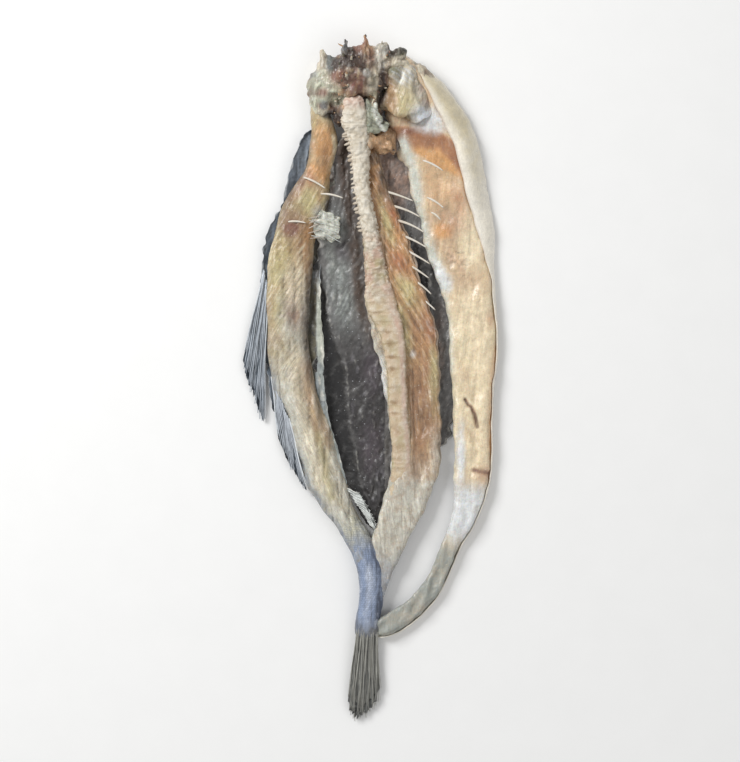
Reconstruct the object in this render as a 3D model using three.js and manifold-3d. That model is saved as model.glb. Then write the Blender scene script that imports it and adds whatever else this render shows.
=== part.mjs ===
// A dried kuria labeo: a river fish without its head, gutted along the belly and opened flat.
// Two flanks and the backbone lie side by side, held by the collar at +Y and by the tail at -Y,
// with the dark skin of the back under them. Millimetres, +Z up, the skin side on the floor.
import * as THREE from 'three';
import { mergeVertices } from 'three/addons/utils/BufferGeometryUtils.js';
import Module from 'manifold-3d';

const wasm = await Module();
wasm.setup();

// Driving sizes.
const VERTEBRA_PITCH = 7.6;
const VERTEBRA_RADIUS = 5.6;
const BACKBONE_TOP_Y = 190;
const BACKBONE_END_Y = -128;
const STUB_LENGTH = 4.2;
const RIB_RADIUS = 0.75;
const RIB_COUNT = 8;
const RIB_LENGTH = 27;
const RIB_TIP_Y = 120;
const RIB_TIP_PITCH = 10.4;
const RIB_OVERHANG = 15;
const FIRST_RIB_SLOPE = -18;
const LAST_RIB_SLOPE = -36;
const SKIN_THICKNESS = 2.2;
const RAY_THICKNESS = 1.9;
const WEB_THICKNESS = 1.1;
const SHORTEST_EDGE = 0.9;
const LEAST_HEIGHT = 0.03;
const TIDY_ROUNDS = 30;
const CLEARANCE = 0.02;
const END_BULGE = 1.3;
const FLOOR_DEPTH = 20;
const REACH = 300;
const SMALLEST_SCRAP = 50;

// Each outline is a row of stations down the strip: [y, x of the middle, half the width].
const LEFT_FLESH = [
  [194, -30, 8], [180, -33, 6.5], [160, -32, 9.5], [138, -37, 10.5], [119, -43.5, 14.5], [95, -51.5, 13.8],
  [70, -54, 15.2], [45, -55.8, 13.4], [18, -55.8, 12.6], [-8, -52, 12.6], [-34, -42, 14], [-56, -33.5, 14],
  [-75, -26, 11.5], [-92, -16.5, 8.6], [-110, -7, 7.6], [-130, 0, 7.4],
];
const LEFT_SKIN = [
  [168, -34, 8], [150, -38, 13], [117, -41, 18.5], [92, -50.5, 20], [70, -53.5, 20], [44, -52, 19.5],
  [18, -51, 20], [-10, -48.5, 18.5], [-34, -42, 16.5], [-58, -33, 14.5], [-78, -24, 11.5],
];
const BACK_SKIN = [
  [166, -4, 19], [150, -1, 26], [130, 1, 31], [110, 3.5, 36], [90, 4.5, 41], [68, 8, 47], [40, 10, 48],
  [8, 11, 48], [-20, 12, 46], [-44, 10.5, 37.5], [-64, 10, 28], [-84, 8, 17], [-100, 8, 9],
];
const CENTRE_FLESH = [
  [156, -1, 7], [136, 2, 8], [117, 6.5, 10.5], [104, 9.5, 12.5], [92, 11.8, 15], [78, 14, 17],
  [58, 16.6, 19.6], [38, 21.6, 21.6], [15, 26.5, 20.3], [-8, 28.3, 18.5], [-31, 30.6, 17.1], [-52, 31, 16.4],
  [-74, 26, 14.8], [-98, 16.5, 12.4], [-124, 6.5, 10], [-148, 0.5, 8],
];
const RIGHT_FLANK = [
  [216, 17, 10], [204, 21.5, 14.5], [188, 31, 22.5], [170, 39.5, 26.4], [152, 48.6, 25.8], [128, 53.8, 25],
  [104, 59.2, 24.2], [80, 62.6, 21.6], [56, 67.4, 17], [27, 69.8, 16.6], [-2, 69.2, 14.4], [-30, 69.3, 13],
  [-54, 69.6, 12.9], [-74, 67.5, 11.4], [-92, 63.4, 8.4], [-110, 55, 6.6], [-126, 48.4, 6.2],
  [-141, 40.6, 6.6], [-153, 29.6, 7], [-162, 17, 7.4], [-168, 3, 7],
];
const PEDUNCLE = [
  [-88, -19, 6], [-103, -9.8, 8], [-118, -2.8, 8.2], [-132, 0.8, 8.6], [-147, 0.8, 8.2], [-160, -1.4, 8.4],
  [-174, -2.6, 9.2],
];
const BACKBONE = [
  [190, -10.8, 8], [174, -10.4, 10.2], [162, -7.6, 8.8], [146, -6.2, 6.6], [126, -4.8, 6.2], [106, -0.9, 6.3],
  [88, 2, 6.8], [70, 5, 7.8], [50, 8, 9], [30, 15, 7], [6, 17.8, 5.6], [-20, 18.9, 5.6],
  [-48, 21.4, 5.6], [-72, 19.6, 5.8], [-98, 13, 5.4], [-128, 3.4, 4.6],
];
const PELVIC_ROOT = [[75, -71.5, 4.2], [71, -70.5, 4.2], [65, -69.5, 4.2], [57, -69, 4.2]];
const PELVIC_TIP = [[8, -87.2, 3.4], [-8, -83, 3.2], [-22, -78, 3.2], [-35, -72, 3.6]];
const ANAL_ROOT = [[3, -66.5, 4.5], [-7, -62.5, 6.6], [-16, -58.5, 9], [-25, -54.5, 10.8]];
const ANAL_TIP = [[-46, -61, 3.6], [-60, -53.8, 4.6], [-71, -47, 6], [-81, -40.5, 7.2]];
const TAIL_ROOT = [[-158, -9.6, 8], [-161, -5, 9.2], [-161, 1, 9.2], [-158, 6, 8]];
const TAIL_TIP = [[-225, -16, 4.4], [-233.4, -9.8, 3.4], [-228, -1, 3], [-217, 7, 4]];
const FRAYED_FIN_ROOT = [[-72, -16, 9], [-84, -8, 9], [-96, 0, 8]];
const FRAYED_FIN_TIP = [[-76, -6, 12], [-92, 3, 11], [-103, 5, 9]];

// The collar runs across the top, from the left flank to the right one.
const COLLAR = [
  [186, -33, 11], [196, -29, 14], [203, -17, 16], [206, -4, 17], [208, 9, 14], [205, 21, 13], [196, 32, 14],
  [184, 42, 10],
];
// Lumps of dried meat and bone on the collar: [x, y, z, three half sizes].
const COLLAR_LUMPS = [
  [-11, 203, 24, 12, 15, 11], [-3, 216, 22, 7, 9, 8], [-30, 212, 15, 6, 10, 7], [-31, 190, 14, 9.5, 12, 7],
  [8, 214, 18, 6, 12, 8], [18, 215, 19, 7, 8, 7], [24, 191, 19, 12, 20, 8.5], [3, 182, 15, 6.5, 13, 7],
  [10, 161, 11, 9, 8, 6.5], [-14, 180, 13, 9, 14, 8.5],
];

// A strip's height, lean and thickness change smoothly along its length, t from 0 to 1.
const ease = (t) => t * t * (3 - 2 * t);
const shareOf = (t, from, to) => THREE.MathUtils.clamp((t - from) / (to - from), 0, 1);
const ramp = (t, from, to, a, b) => a + (b - a) * ease(shareOf(t, from, to));
const bell = (t, middle, width) => Math.exp(-(((t - middle) / width) ** 2));
const wave = (t, count, phase) => Math.sin(2 * Math.PI * (count * t + phase));
const blunt = (value, power) => Math.sign(value) * Math.abs(value) ** power;

function random(seed) {
  let state = seed;
  return () => {
    state = (state * 1664525 + 1013904223) % 4294967296;
    return state / 4294967296;
  };
}

function swell(x, y, z, seed) {
  const a = Math.sin(x * 0.31 + seed * 1.7 + 1.3 * Math.sin(y * 0.23 + seed));
  const b = Math.sin(y * 0.37 - seed * 2.3 + 1.1 * Math.sin(z * 0.29 + seed * 0.7));
  const c = Math.sin(z * 0.41 + seed * 0.9 + 1.2 * Math.sin(x * 0.27 - seed));
  return (a + b + c) / 3;
}

function solidOf(positions, triangles) {
  const geometry = new THREE.BufferGeometry();
  geometry.setAttribute('position', new THREE.Float32BufferAttribute(positions, 3));
  geometry.setIndex(triangles);
  const merged = mergeVertices(geometry, 1e-3);
  const vertProperties = merged.attributes.position.array;
  const make = (triVerts) => new wasm.Manifold(new wasm.Mesh({ numProp: 3, vertProperties, triVerts }));
  const solid = make(new Uint32Array(merged.index.array));
  if (solid.volume() > 0) return solid;
  return make(new Uint32Array([...merged.index.array].reverse()));
}

function solidOfGeometry(geometry) {
  geometry.deleteAttribute('normal');
  geometry.deleteAttribute('uv');
  const merged = mergeVertices(geometry, 1e-3);
  return solidOf([...merged.attributes.position.array], [...merged.index.array]);
}

const centreOf = (ring) => ring.reduce((sum, p) => sum.add(p), new THREE.Vector3()).divideScalar(ring.length);

// Closes a tube of rings with a low cone at each end.
function loft(rings) {
  const around = rings[0].length;
  const positions = rings.flat().flatMap((p) => [p.x, p.y, p.z]);
  const triangles = [];
  for (let i = 0; i + 1 < rings.length; i++) {
    for (let k = 0; k < around; k++) {
      const a = i * around + k;
      const b = i * around + ((k + 1) % around);
      triangles.push(a, b, a + around, b, b + around, a + around);
    }
  }
  for (const [ring, inner, flip] of [[0, 1, true], [rings.length - 1, rings.length - 2, false]]) {
    const middle = centreOf(rings[ring]);
    const tip = middle.clone().sub(centreOf(rings[inner])).setLength(END_BULGE).add(middle);
    const hub = positions.length / 3;
    positions.push(...tip.toArray());
    for (let k = 0; k < around; k++) {
      const a = ring * around + k;
      const b = ring * around + ((k + 1) % around);
      triangles.push(...(flip ? [b, a, hub] : [a, b, hub]));
    }
  }
  return solidOf(positions, triangles);
}

function lineThrough(points) {
  return new THREE.CatmullRomCurve3(points, false, 'catmullrom', 0.5);
}

// A strip of flesh or skin: a blunt section that is bent and leaned, swept down its stations.
function strip(outline, form) {
  const line = lineThrough(outline.map(([y, x]) => new THREE.Vector3(x, y, 0)));
  const widths = lineThrough(outline.map(([, , half]) => new THREE.Vector3(half, 0, 0)));
  const rings = [];
  for (let i = 0; i <= form.steps; i++) {
    const t = i / form.steps;
    const middle = line.getPoint(t);
    const heading = line.getTangent(t);
    const across = new THREE.Vector3(-heading.y, heading.x, 0);
    const closing = Math.sqrt(1 - (1 - Math.min(1, t / form.cap, (1 - t) / form.cap)) ** 2 * 0.92);
    const half = widths.getPoint(t).x * (0.45 + 0.55 * closing);
    const ring = [];
    for (let k = 0; k < form.around; k++) {
      const angle = (2 * Math.PI * k) / form.around;
      const u = blunt(Math.cos(angle), form.flatness);
      const v = blunt(Math.sin(angle), form.flatness);
      const bent = form.lift(t) + form.lean(t) * u + form.bend(t, u);
      const skin = (form.thick(t) / 2) * closing * v;
      const relief = v > 0 && form.relief ? form.relief(t, u, middle) * v * closing : 0;
      const beside = across.clone().multiplyScalar(half * u).add(middle);
      ring.push(beside.setZ(bent + skin + relief));
    }
    rings.push(ring);
  }
  return loft(rings);
}

// A fin: rays that stand proud of the web between them, from a root line to a ragged tip line.
function fin(rootLine, tipLine, rays, rows, seed) {
  const place = ([y, x, z]) => new THREE.Vector3(x, y, z);
  const root = lineThrough(rootLine.map(place));
  const tip = lineThrough(tipLine.map(place));
  const draw = random(seed);
  const columns = 2 * rays;
  const positions = [];
  const triangles = [];
  for (let c = 0; c <= columns; c++) {
    const reach = c % 2 ? 0.97 : 0.9 - 0.06 * draw();
    const start = root.getPoint(c / columns);
    const end = tip.getPoint(c / columns);
    for (let r = 0; r <= rows; r++) {
      const along = (r / rows) * reach;
      const point = start.clone().lerp(end, along);
      const half = ((c % 2 ? RAY_THICKNESS : WEB_THICKNESS) / 2) * (1 - 0.45 * along);
      const sway = 0.7 * Math.sin(5 * along + c * 0.9);
      positions.push(point.x, point.y, point.z + sway + half, point.x, point.y, point.z + sway - half);
    }
  }
  const at = (c, r, under) => 2 * (c * (rows + 1) + r) + under;
  const quad = (a, b, c, d) => triangles.push(a, b, c, a, c, d);
  for (let c = 0; c < columns; c++) {
    for (let r = 0; r < rows; r++) {
      quad(at(c, r, 0), at(c + 1, r, 0), at(c + 1, r + 1, 0), at(c, r + 1, 0));
      quad(at(c, r, 1), at(c, r + 1, 1), at(c + 1, r + 1, 1), at(c + 1, r, 1));
    }
    quad(at(c, 0, 1), at(c + 1, 0, 1), at(c + 1, 0, 0), at(c, 0, 0));
    quad(at(c, rows, 0), at(c + 1, rows, 0), at(c + 1, rows, 1), at(c, rows, 1));
  }
  for (let r = 0; r < rows; r++) {
    quad(at(0, r, 0), at(0, r + 1, 0), at(0, r + 1, 1), at(0, r, 1));
    quad(at(columns, r, 1), at(columns, r + 1, 1), at(columns, r + 1, 0), at(columns, r, 0));
  }
  return solidOf(positions, triangles);
}

// A spike or bone: a cone frustum from one point to another.
function spike(from, to, thickStart, thickEnd, sides = 5) {
  const start = new THREE.Vector3(...from);
  const end = new THREE.Vector3(...to);
  const along = end.clone().sub(start);
  const cone = new THREE.CylinderGeometry(thickEnd, thickStart, along.length(), sides, 1);
  const turn = new THREE.Quaternion().setFromUnitVectors(new THREE.Vector3(0, 1, 0), along.normalize());
  cone.applyQuaternion(turn);
  cone.translate(...start.add(end).multiplyScalar(0.5).toArray());
  return solidOfGeometry(cone);
}

function lump([x, y, z, rx, ry, rz], seed) {
  const ball = new THREE.IcosahedronGeometry(1, rx > 10 ? 2 : 1);
  const position = ball.attributes.position;
  for (let i = 0; i < position.count; i++) {
    const p = new THREE.Vector3().fromBufferAttribute(position, i);
    const rough = 1 + 0.42 * swell(p.x * 11, p.y * 11, p.z * 11, seed);
    position.setXYZ(i, x + p.x * rx * rough, y + p.y * ry * rough, z + p.z * rz * rough);
  }
  return solidOfGeometry(ball);
}

// The backbone: two rings to each vertebra, waisted between them, with spine stubs on its left.
const backboneLine = lineThrough(BACKBONE.map(([y, x]) => new THREE.Vector3(x, y, 0)));
const backboneWidth = lineThrough(BACKBONE.map(([, , half]) => new THREE.Vector3(half, 0, 0)));
const backboneLift = (t) => 14.5 + ramp(t, 0, 0.22, 6.5, 0) - ramp(t, 0.3, 0.5, 0, 3.5)
  - ramp(t, 0.72, 1, 0, 2.5) + 0.8 * wave(t, 2, 0.1);
const vertebraCount = Math.round((BACKBONE_TOP_Y - BACKBONE_END_Y) / VERTEBRA_PITCH);

function backbone() {
  const rings = [];
  const around = 6;
  for (let i = 0; i <= 2 * vertebraCount; i++) {
    const t = i / (2 * vertebraCount);
    const middle = backboneLine.getPoint(t);
    const waist = i % 2 ? 1 : 0.84;
    const half = backboneWidth.getPoint(t).x * waist * 0.92;
    const tall = VERTEBRA_RADIUS * waist * ramp(t, 0.75, 1, 1, 0.7);
    const ring = [];
    for (let k = 0; k < around; k++) {
      const angle = (2 * Math.PI * (k + 0.5)) / around;
      const z = backboneLift(t) + tall * Math.sin(angle);
      ring.push(new THREE.Vector3(middle.x + half * Math.cos(angle), middle.y, z));
    }
    rings.push(ring);
  }
  return loft(rings);
}

function spineStubs() {
  const stubs = [];
  for (let i = 2; i < vertebraCount * 0.72; i++) {
    const t = (i + 0.5) / vertebraCount;
    const middle = backboneLine.getPoint(t);
    const half = backboneWidth.getPoint(t).x * 0.8;
    const z = backboneLift(t) + 1.5;
    const from = [middle.x - half + 1, middle.y, z];
    const to = [middle.x - half - STUB_LENGTH * 0.6, middle.y - 1.8, z - 1.2];
    stubs.push(spike(from, to, 1.8, 0.8, 3));
  }
  return stubs;
}

const form = {
  leftFlesh: {
    steps: 34,
    around: 10,
    flatness: 0.62,
    cap: 0.05,
    lift: (t) => 7.4 + ramp(t, 0, 0.25, 5.6, 0) + 1.1 * wave(t, 2.5, 0.2) + ramp(t, 0.66, 0.85, 0, 1.5),
    lean: (t) => -1.5 + ramp(t, 0, 0.2, 2, 0) + 1.5 * bell(t, 0.62, 0.1),
    bend: (t, u) => -2.2 * u * u,
    thick: (t) => 8 + ramp(t, 0.15, 0.4, -0.5, 1.5) + ramp(t, 0.6, 1, 0, -0.5),
    relief: (t, u, p) =>
      1.3 * swell(p.x + 9 * u, p.y * 0.7, 0, 3) - 1.2 * bell(u, 0.45, 0.2) * ramp(t, 0.3, 0.4, 0, 1),
  },
  leftSkin: {
    steps: 26,
    around: 10,
    flatness: 0.6,
    cap: 0.04,
    lift: (t) => 0.85 + ramp(t, 0, 0.3, 3.5, 0) + ramp(t, 0.75, 1, 0, 4) + 0.35 * wave(t, 3, 0.1),
    lean: (t) => 0.6 * wave(t, 1.5, 0.3),
    bend: (t, u) => (u > 0 ? 6.5 : 3.4) * u ** 4 + 0.5 * Math.sin(34 * t + 3 * u) * u * u,
    thick: () => SKIN_THICKNESS,
  },
  backSkin: {
    steps: 26,
    around: 12,
    flatness: 0.62,
    cap: 0.04,
    lift: (t) => 0.85 + ramp(t, 0, 0.2, 3, 0) + ramp(t, 0.8, 1, 0, 1.5) + 0.35 * wave(t, 3.5, 0.4),
    lean: () => -0.4,
    bend: (t, u) => 1.2 * u ** 4 + 0.9 * Math.sin(26 * t + 7 * u) * u * u,
    thick: () => SKIN_THICKNESS,
  },
  centreFlesh: {
    steps: 50,
    around: 12,
    flatness: 0.7,
    cap: 0.04,
    lift: (t) => 6.8 + ramp(t, 0, 0.25, 3.5, 0) + 0.8 * wave(t, 2, 0.6),
    lean: (t) => 0.5 + 2.6 * bell(t, 0.5, 0.2),
    bend: (t, u) => 1.6 * bell(t, 0.45, 0.25) * u * u,
    thick: (t) => 8.4 + ramp(t, 0.7, 1, 0, 0.8),
    relief: (t, u, p) =>
      swell(p.x + 12 * u, p.y * 0.7, 0, 8) - 2.2 * bell(u, 0.28, 0.2) * bell(t, 0.62, 0.18),
  },
  rightFlank: {
    steps: 46,
    around: 12,
    flatness: 0.6,
    cap: 0.03,
    lift: (t) => 4.9 + ramp(t, 0.02, 0.36, 8.4, 0) + 0.7 * wave(t, 2.2, 0.1) + 1.5 * bell(t, 0.72, 0.08),
    lean: (t) => ramp(t, 0, 0.4, 6.5, 0.8) + ramp(t, 0.6, 0.75, 0, -0.8),
    bend: (t, u) =>
      -ramp(t, 0.1, 0.42, 15, 2.2) * Math.max(0, (u - 0.4) / 0.6) ** 2
      - ramp(t, 0.15, 0.42, 3, 0.6) * bell(u, -0.2, 0.5),
    thick: (t) => 8.6 + ramp(t, 0.12, 0.45, 4.4, 0.6) - ramp(t, 0.66, 0.84, 0, 1.6),
    relief: (t, u, p) =>
      1.3 * swell(p.x + 14 * u, p.y * 0.7, 0, 5) - 1.6 * bell(u, 0.1, 0.2) * bell(t, 0.55, 0.06),
  },
  collar: {
    steps: 18,
    around: 12,
    flatness: 0.8,
    cap: 0.12,
    lift: (t) => 11.6 + 2.5 * bell(t, 0.45, 0.2),
    lean: () => -1,
    bend: () => 0,
    thick: (t) => 24 + 4 * bell(t, 0.45, 0.2) - ramp(t, 0.75, 1, 0, 8),
    relief: (t, u, p) => 2.6 * swell(p.x * 2.1 + 30 * u, p.y, 20 * u, 4) - 6 * bell(t, 0.66, 0.035),
  },
  peduncle: {
    steps: 12,
    around: 10,
    flatness: 0.9,
    cap: 0.13,
    lift: (t) => 6.9 + ramp(t, 0, 0.4, 2.2, 0) - ramp(t, 0.6, 1, 0, 1.6),
    lean: () => 0,
    bend: () => 0,
    thick: (t) => ramp(t, 0.4, 1, 14.6, 9.5),
  },
};

// Joining leaves slivers along the seams. A short edge is drawn together to one point, and a face that is
// too flat swaps its longest edge, where the surface stays closed and no face near it turns over.
function tidied(mesh) {
  const points = [];
  for (let i = 0; i < mesh.numVert; i++) {
    points.push(new THREE.Vector3().fromArray(mesh.vertProperties, i * mesh.numProp));
  }
  const faces = [];
  for (let i = 0; i < mesh.triVerts.length; i += 3) faces.push([...mesh.triVerts.subarray(i, i + 3)]);
  const facesAt = points.map(() => new Set());
  faces.forEach((face, f) => face.forEach((p) => facesAt[p].add(f)));

  const normalOf = ([a, b, c]) => points[b].clone().sub(points[a]).cross(points[c].clone().sub(points[a]));
  const longestOf = (face) => {
    const lengths = face.map((p, k) => points[p].distanceTo(points[face[(k + 1) % 3]]));
    return lengths.indexOf(Math.max(...lengths));
  };
  const heightOf = (face) => {
    const k = longestOf(face);
    return normalOf(face).length() / points[face[k]].distanceTo(points[face[(k + 1) % 3]]);
  };
  const neighbours = (p) => new Set([...facesAt[p]].flatMap((f) => faces[f]).filter((q) => q !== p));
  const agrees = (before, after) => after.dot(before) > 0.3 * after.length() * before.length();

  const canDraw = (from, to, place) => {
    const others = neighbours(to);
    if ([...neighbours(from)].filter((p) => others.has(p)).length !== 2) return false;
    const touched = [...new Set([...facesAt[from], ...facesAt[to]])]
      .filter((f) => !(faces[f].includes(from) && faces[f].includes(to)));
    const before = touched.map((f) => [normalOf(faces[f]), heightOf(faces[f])]);
    const old = [points[from], points[to]];
    points[from] = place;
    points[to] = place;
    const fine = touched.every((f, i) =>
      heightOf(faces[f]) > Math.min(LEAST_HEIGHT, before[i][1]) &&
      (before[i][1] < LEAST_HEIGHT || agrees(before[i][0], normalOf(faces[f]))));
    [points[from], points[to]] = old;
    return fine;
  };

  const draw = (from, to, place) => {
    points[to] = place;
    for (const g of [...facesAt[from]]) {
      if (faces[g].includes(to)) {
        faces[g].forEach((p) => facesAt[p].delete(g));
        faces[g] = null;
      } else {
        faces[g] = faces[g].map((p) => (p === from ? to : p));
        facesAt[to].add(g);
      }
    }
    facesAt[from].clear();
  };

  const drawShortEdges = () => {
    let count = 0;
    for (let f = 0; f < faces.length; f++) {
      for (let k = 0; k < 3 && faces[f]; k++) {
        const from = faces[f][k];
        const to = faces[f][(k + 1) % 3];
        if (points[from].distanceTo(points[to]) >= SHORTEST_EDGE) continue;
        const grounded = [from, to].filter((p) => points[p].z < 1e-6);
        const half = points[from].clone().lerp(points[to], 0.5);
        const place = grounded.length === 1 ? points[grounded[0]].clone() : half;
        if (!canDraw(from, to, place)) continue;
        draw(from, to, place);
        count += 1;
      }
    }
    return count;
  };

  const swapFlatFaces = () => {
    let count = 0;
    for (let f = 0; f < faces.length; f++) {
      if (!faces[f] || heightOf(faces[f]) > LEAST_HEIGHT) continue;
      const k = longestOf(faces[f]);
      const [a, b, c] = [0, 1, 2].map((i) => faces[f][(k + i) % 3]);
      const g = [...facesAt[a]].find((other) => other !== f && facesAt[b].has(other));
      const d = faces[g].find((p) => p !== a && p !== b);
      if (neighbours(c).has(d)) continue;
      const pair = [[a, d, c], [d, b, c]];
      if (Math.min(...pair.map(heightOf)) <= heightOf(faces[f])) continue;
      for (const old of [f, g]) faces[old].forEach((p) => facesAt[p].delete(old));
      [faces[f], faces[g]] = pair;
      for (const fresh of [f, g]) faces[fresh].forEach((p) => facesAt[p].add(fresh));
      count += 1;
    }
    return count;
  };

  // A point with only three faces, beside a short edge, gives way to one face.
  const dropShallowPoints = () => {
    let count = 0;
    for (let p = 0; p < points.length; p++) {
      if (facesAt[p].size !== 3) continue;
      const ring = [...neighbours(p)];
      const nearest = Math.min(...ring.map((q) => points[q].distanceTo(points[p])));
      if (ring.length !== 3 || nearest >= SHORTEST_EDGE) continue;
      const [f, g, h] = facesAt[p];
      const corners = faces[f].filter((q) => q !== p);
      const third = ring.find((q) => !corners.includes(q));
      const face = faces[f].map((q) => (q === p ? third : q));
      if ([...facesAt[third]].some((k) => face.every((q) => faces[k].includes(q)))) continue;
      for (const old of [f, g, h]) faces[old].forEach((q) => facesAt[q].delete(old));
      faces[f] = face;
      faces[g] = null;
      faces[h] = null;
      face.forEach((q) => facesAt[q].add(f));
      count += 1;
    }
    return count;
  };

  // Two points of different surfaces in one place are moved apart, each a little into its own side.
  const partTouching = () => {
    const cells = new Map();
    points.forEach((point, p) => {
      if (!facesAt[p].size) return;
      const key = point.toArray().map((value) => Math.round(value / (2 * CLEARANCE))).join();
      if (!cells.has(key)) cells.set(key, p);
      else {
        const inward = [...facesAt[p]].reduce((sum, f) => sum.sub(normalOf(faces[f])), new THREE.Vector3());
        point.addScaledVector(inward.normalize(), 2 * CLEARANCE);
      }
    });
  };

  let round = 0;
  while (round < TIDY_ROUNDS && drawShortEdges() + dropShallowPoints() + swapFlatFaces() > 0) round += 1;
  partTouching();
  const made = new THREE.BufferGeometry();
  made.setAttribute('position', new THREE.Float32BufferAttribute(points.flatMap((p) => p.toArray()), 3));
  made.setIndex(faces.filter(Boolean).flat());
  return mergeVertices(made.toNonIndexed(), 1e-4);
}

function joined(solids) {
  return solids.reduce((whole, next) => whole.add(next));
}

// Loose bones on the flanks: [x, y] of the root, [x, y] of the tip, height.
const FLANK_BONES = [
  [35, 146.5, 49.5, 140.5, 24], [38, 121.5, 50.5, 115, 21], [40.5, 112.5, 48, 107, 20],
  [-44, 136, -22, 123, 15], [-31.5, 128, -17, 123, 14], [-57, 106.5, -43, 106, 13], [-38, 110, -22, 111, 12],
];

function rightEdgeAt(outline, y) {
  const below = outline.findIndex(([stationY]) => stationY <= y);
  const [[y0, x0, half0], [y1, x1, half1]] = [outline[below - 1], outline[below]];
  return THREE.MathUtils.mapLinear(y, y0, y1, x0 + half0, x1 + half1);
}

// Ribs come out of the centre flesh and stand past its right edge, steeper one after the other.
function ribs() {
  const made = [];
  for (let i = 0; i < RIB_COUNT; i++) {
    const slope = THREE.MathUtils.degToRad(ramp(i, 0, RIB_COUNT - 1, FIRST_RIB_SLOPE, LAST_RIB_SLOPE));
    const tipY = RIB_TIP_Y - i * RIB_TIP_PITCH;
    const tipX = rightEdgeAt(CENTRE_FLESH, tipY) + ramp(i, 0, RIB_COUNT, RIB_OVERHANG, RIB_OVERHANG / 4);
    const root = [tipX - RIB_LENGTH * Math.cos(slope), tipY - RIB_LENGTH * Math.sin(slope), 9.5];
    made.push(spike(root, [tipX, tipY, 12.5], RIB_RADIUS * 1.4, RIB_RADIUS * 0.7));
  }
  return made;
}

function flankBones() {
  return FLANK_BONES.map(([x, y, tipX, tipY, z]) =>
    spike([x, y, z - 4.5], [tipX, tipY, z - 0.5], RIB_RADIUS * 1.3, RIB_RADIUS * 0.7));
}

function collar() {
  const lumps = COLLAR_LUMPS.map((size, i) => lump(size, i + 2));
  const horns = [
    spike([-4, 212, 24], [-3.2, 231.3, 27], 6.2, 0.9, 7),
    spike([-15, 207, 24], [-16.4, 223, 29], 2.4, 1.5, 6),
    spike([-30, 207, 14], [-33, 224, 17], 6.5, 1.7, 7),
    spike([7, 213, 20], [6.6, 227.5, 20], 5.6, 3, 6),
    spike([19, 213, 18], [22, 223, 19], 7.4, 2.8, 6),
  ];
  return [strip(COLLAR, form.collar), ...lumps, ...horns];
}

const whole = joined([
  strip(BACK_SKIN, form.backSkin),
  strip(LEFT_SKIN, form.leftSkin),
  strip(LEFT_FLESH, form.leftFlesh),
  strip(CENTRE_FLESH, form.centreFlesh),
  strip(RIGHT_FLANK, form.rightFlank),
  strip(PEDUNCLE, form.peduncle),
  backbone(),
  ...spineStubs(),
  ...ribs(),
  ...flankBones(),
  ...collar(),
  fin(PELVIC_ROOT, PELVIC_TIP, 6, 8, 11),
  fin(ANAL_ROOT, ANAL_TIP, 5, 6, 12),
  fin(TAIL_ROOT, TAIL_TIP, 8, 4, 13),
  fin(FRAYED_FIN_ROOT, FRAYED_FIN_TIP, 4, 1, 14),
]);

const underFloor = solidOfGeometry(
  new THREE.BoxGeometry(2 * REACH, 2 * REACH, FLOOR_DEPTH).translate(0, 0, -FLOOR_DEPTH / 2));
const bodies = whole.subtract(underFloor).decompose();
const fish = joined(bodies.filter((body) => body.volume() > SMALLEST_SCRAP));

const geometry = tidied(fish.getMesh());
geometry.computeVertexNormals();

const dried = new THREE.MeshStandardMaterial({ color: '#b59f7e', roughness: 0.62, metalness: 0 });
const driedFish = new THREE.Mesh(geometry, dried);
driedFish.name = 'dried_fish';

const part = new THREE.Group();
part.add(driedFish);
export default part;
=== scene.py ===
"""A dried kuria labeo: a river fish without its head, gutted along the belly and opened flat.

The flesh side is up. Two flanks and the backbone lie side by side between the collar at +Y and
the tail at -Y, with the dark skin of the back under them. Lengths are in millimetres until a mesh
is made.
"""

from dataclasses import dataclass
from typing import Callable

import bmesh
import bpy
import numpy as np
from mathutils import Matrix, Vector


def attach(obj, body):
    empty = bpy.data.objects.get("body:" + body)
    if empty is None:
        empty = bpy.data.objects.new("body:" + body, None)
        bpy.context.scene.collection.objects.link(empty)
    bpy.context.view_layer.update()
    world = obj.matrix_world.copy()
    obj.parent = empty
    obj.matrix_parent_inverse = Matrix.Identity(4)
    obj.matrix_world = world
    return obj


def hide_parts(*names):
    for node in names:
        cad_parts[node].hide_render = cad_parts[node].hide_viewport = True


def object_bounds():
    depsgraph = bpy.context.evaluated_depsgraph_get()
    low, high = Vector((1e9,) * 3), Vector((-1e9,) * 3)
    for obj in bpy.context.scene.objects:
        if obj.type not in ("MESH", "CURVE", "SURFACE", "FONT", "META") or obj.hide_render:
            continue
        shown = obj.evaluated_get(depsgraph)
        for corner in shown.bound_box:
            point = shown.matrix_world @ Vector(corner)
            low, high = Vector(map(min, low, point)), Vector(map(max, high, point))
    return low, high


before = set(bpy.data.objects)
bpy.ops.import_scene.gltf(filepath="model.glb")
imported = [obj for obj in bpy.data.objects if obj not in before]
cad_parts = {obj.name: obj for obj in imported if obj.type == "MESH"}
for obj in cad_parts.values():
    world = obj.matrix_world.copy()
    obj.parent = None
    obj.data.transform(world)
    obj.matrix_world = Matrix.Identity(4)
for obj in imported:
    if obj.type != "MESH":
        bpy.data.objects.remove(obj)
cad_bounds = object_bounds()

MM = 0.001
NODE = "dried_fish"
BODY = "root"

# Lowest level of the skins, lowest level of everything on them, and the least height between the
# upper and the lower face of a strip.
LOWEST_Z = 0.2
FLESH_Z = 0.8
LEAST_HEIGHT = 0.4

# Spacing of the mesh on the upper side of a strip, and on its underside.
FINE = 0.8
COARSE = 1.6

# How far the collar and the flakes on it may reach.
COLLAR_END_Y = 231
FLAKE_END_Y = 230.5
FLAKE_TOP_Z = 33.5

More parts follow.
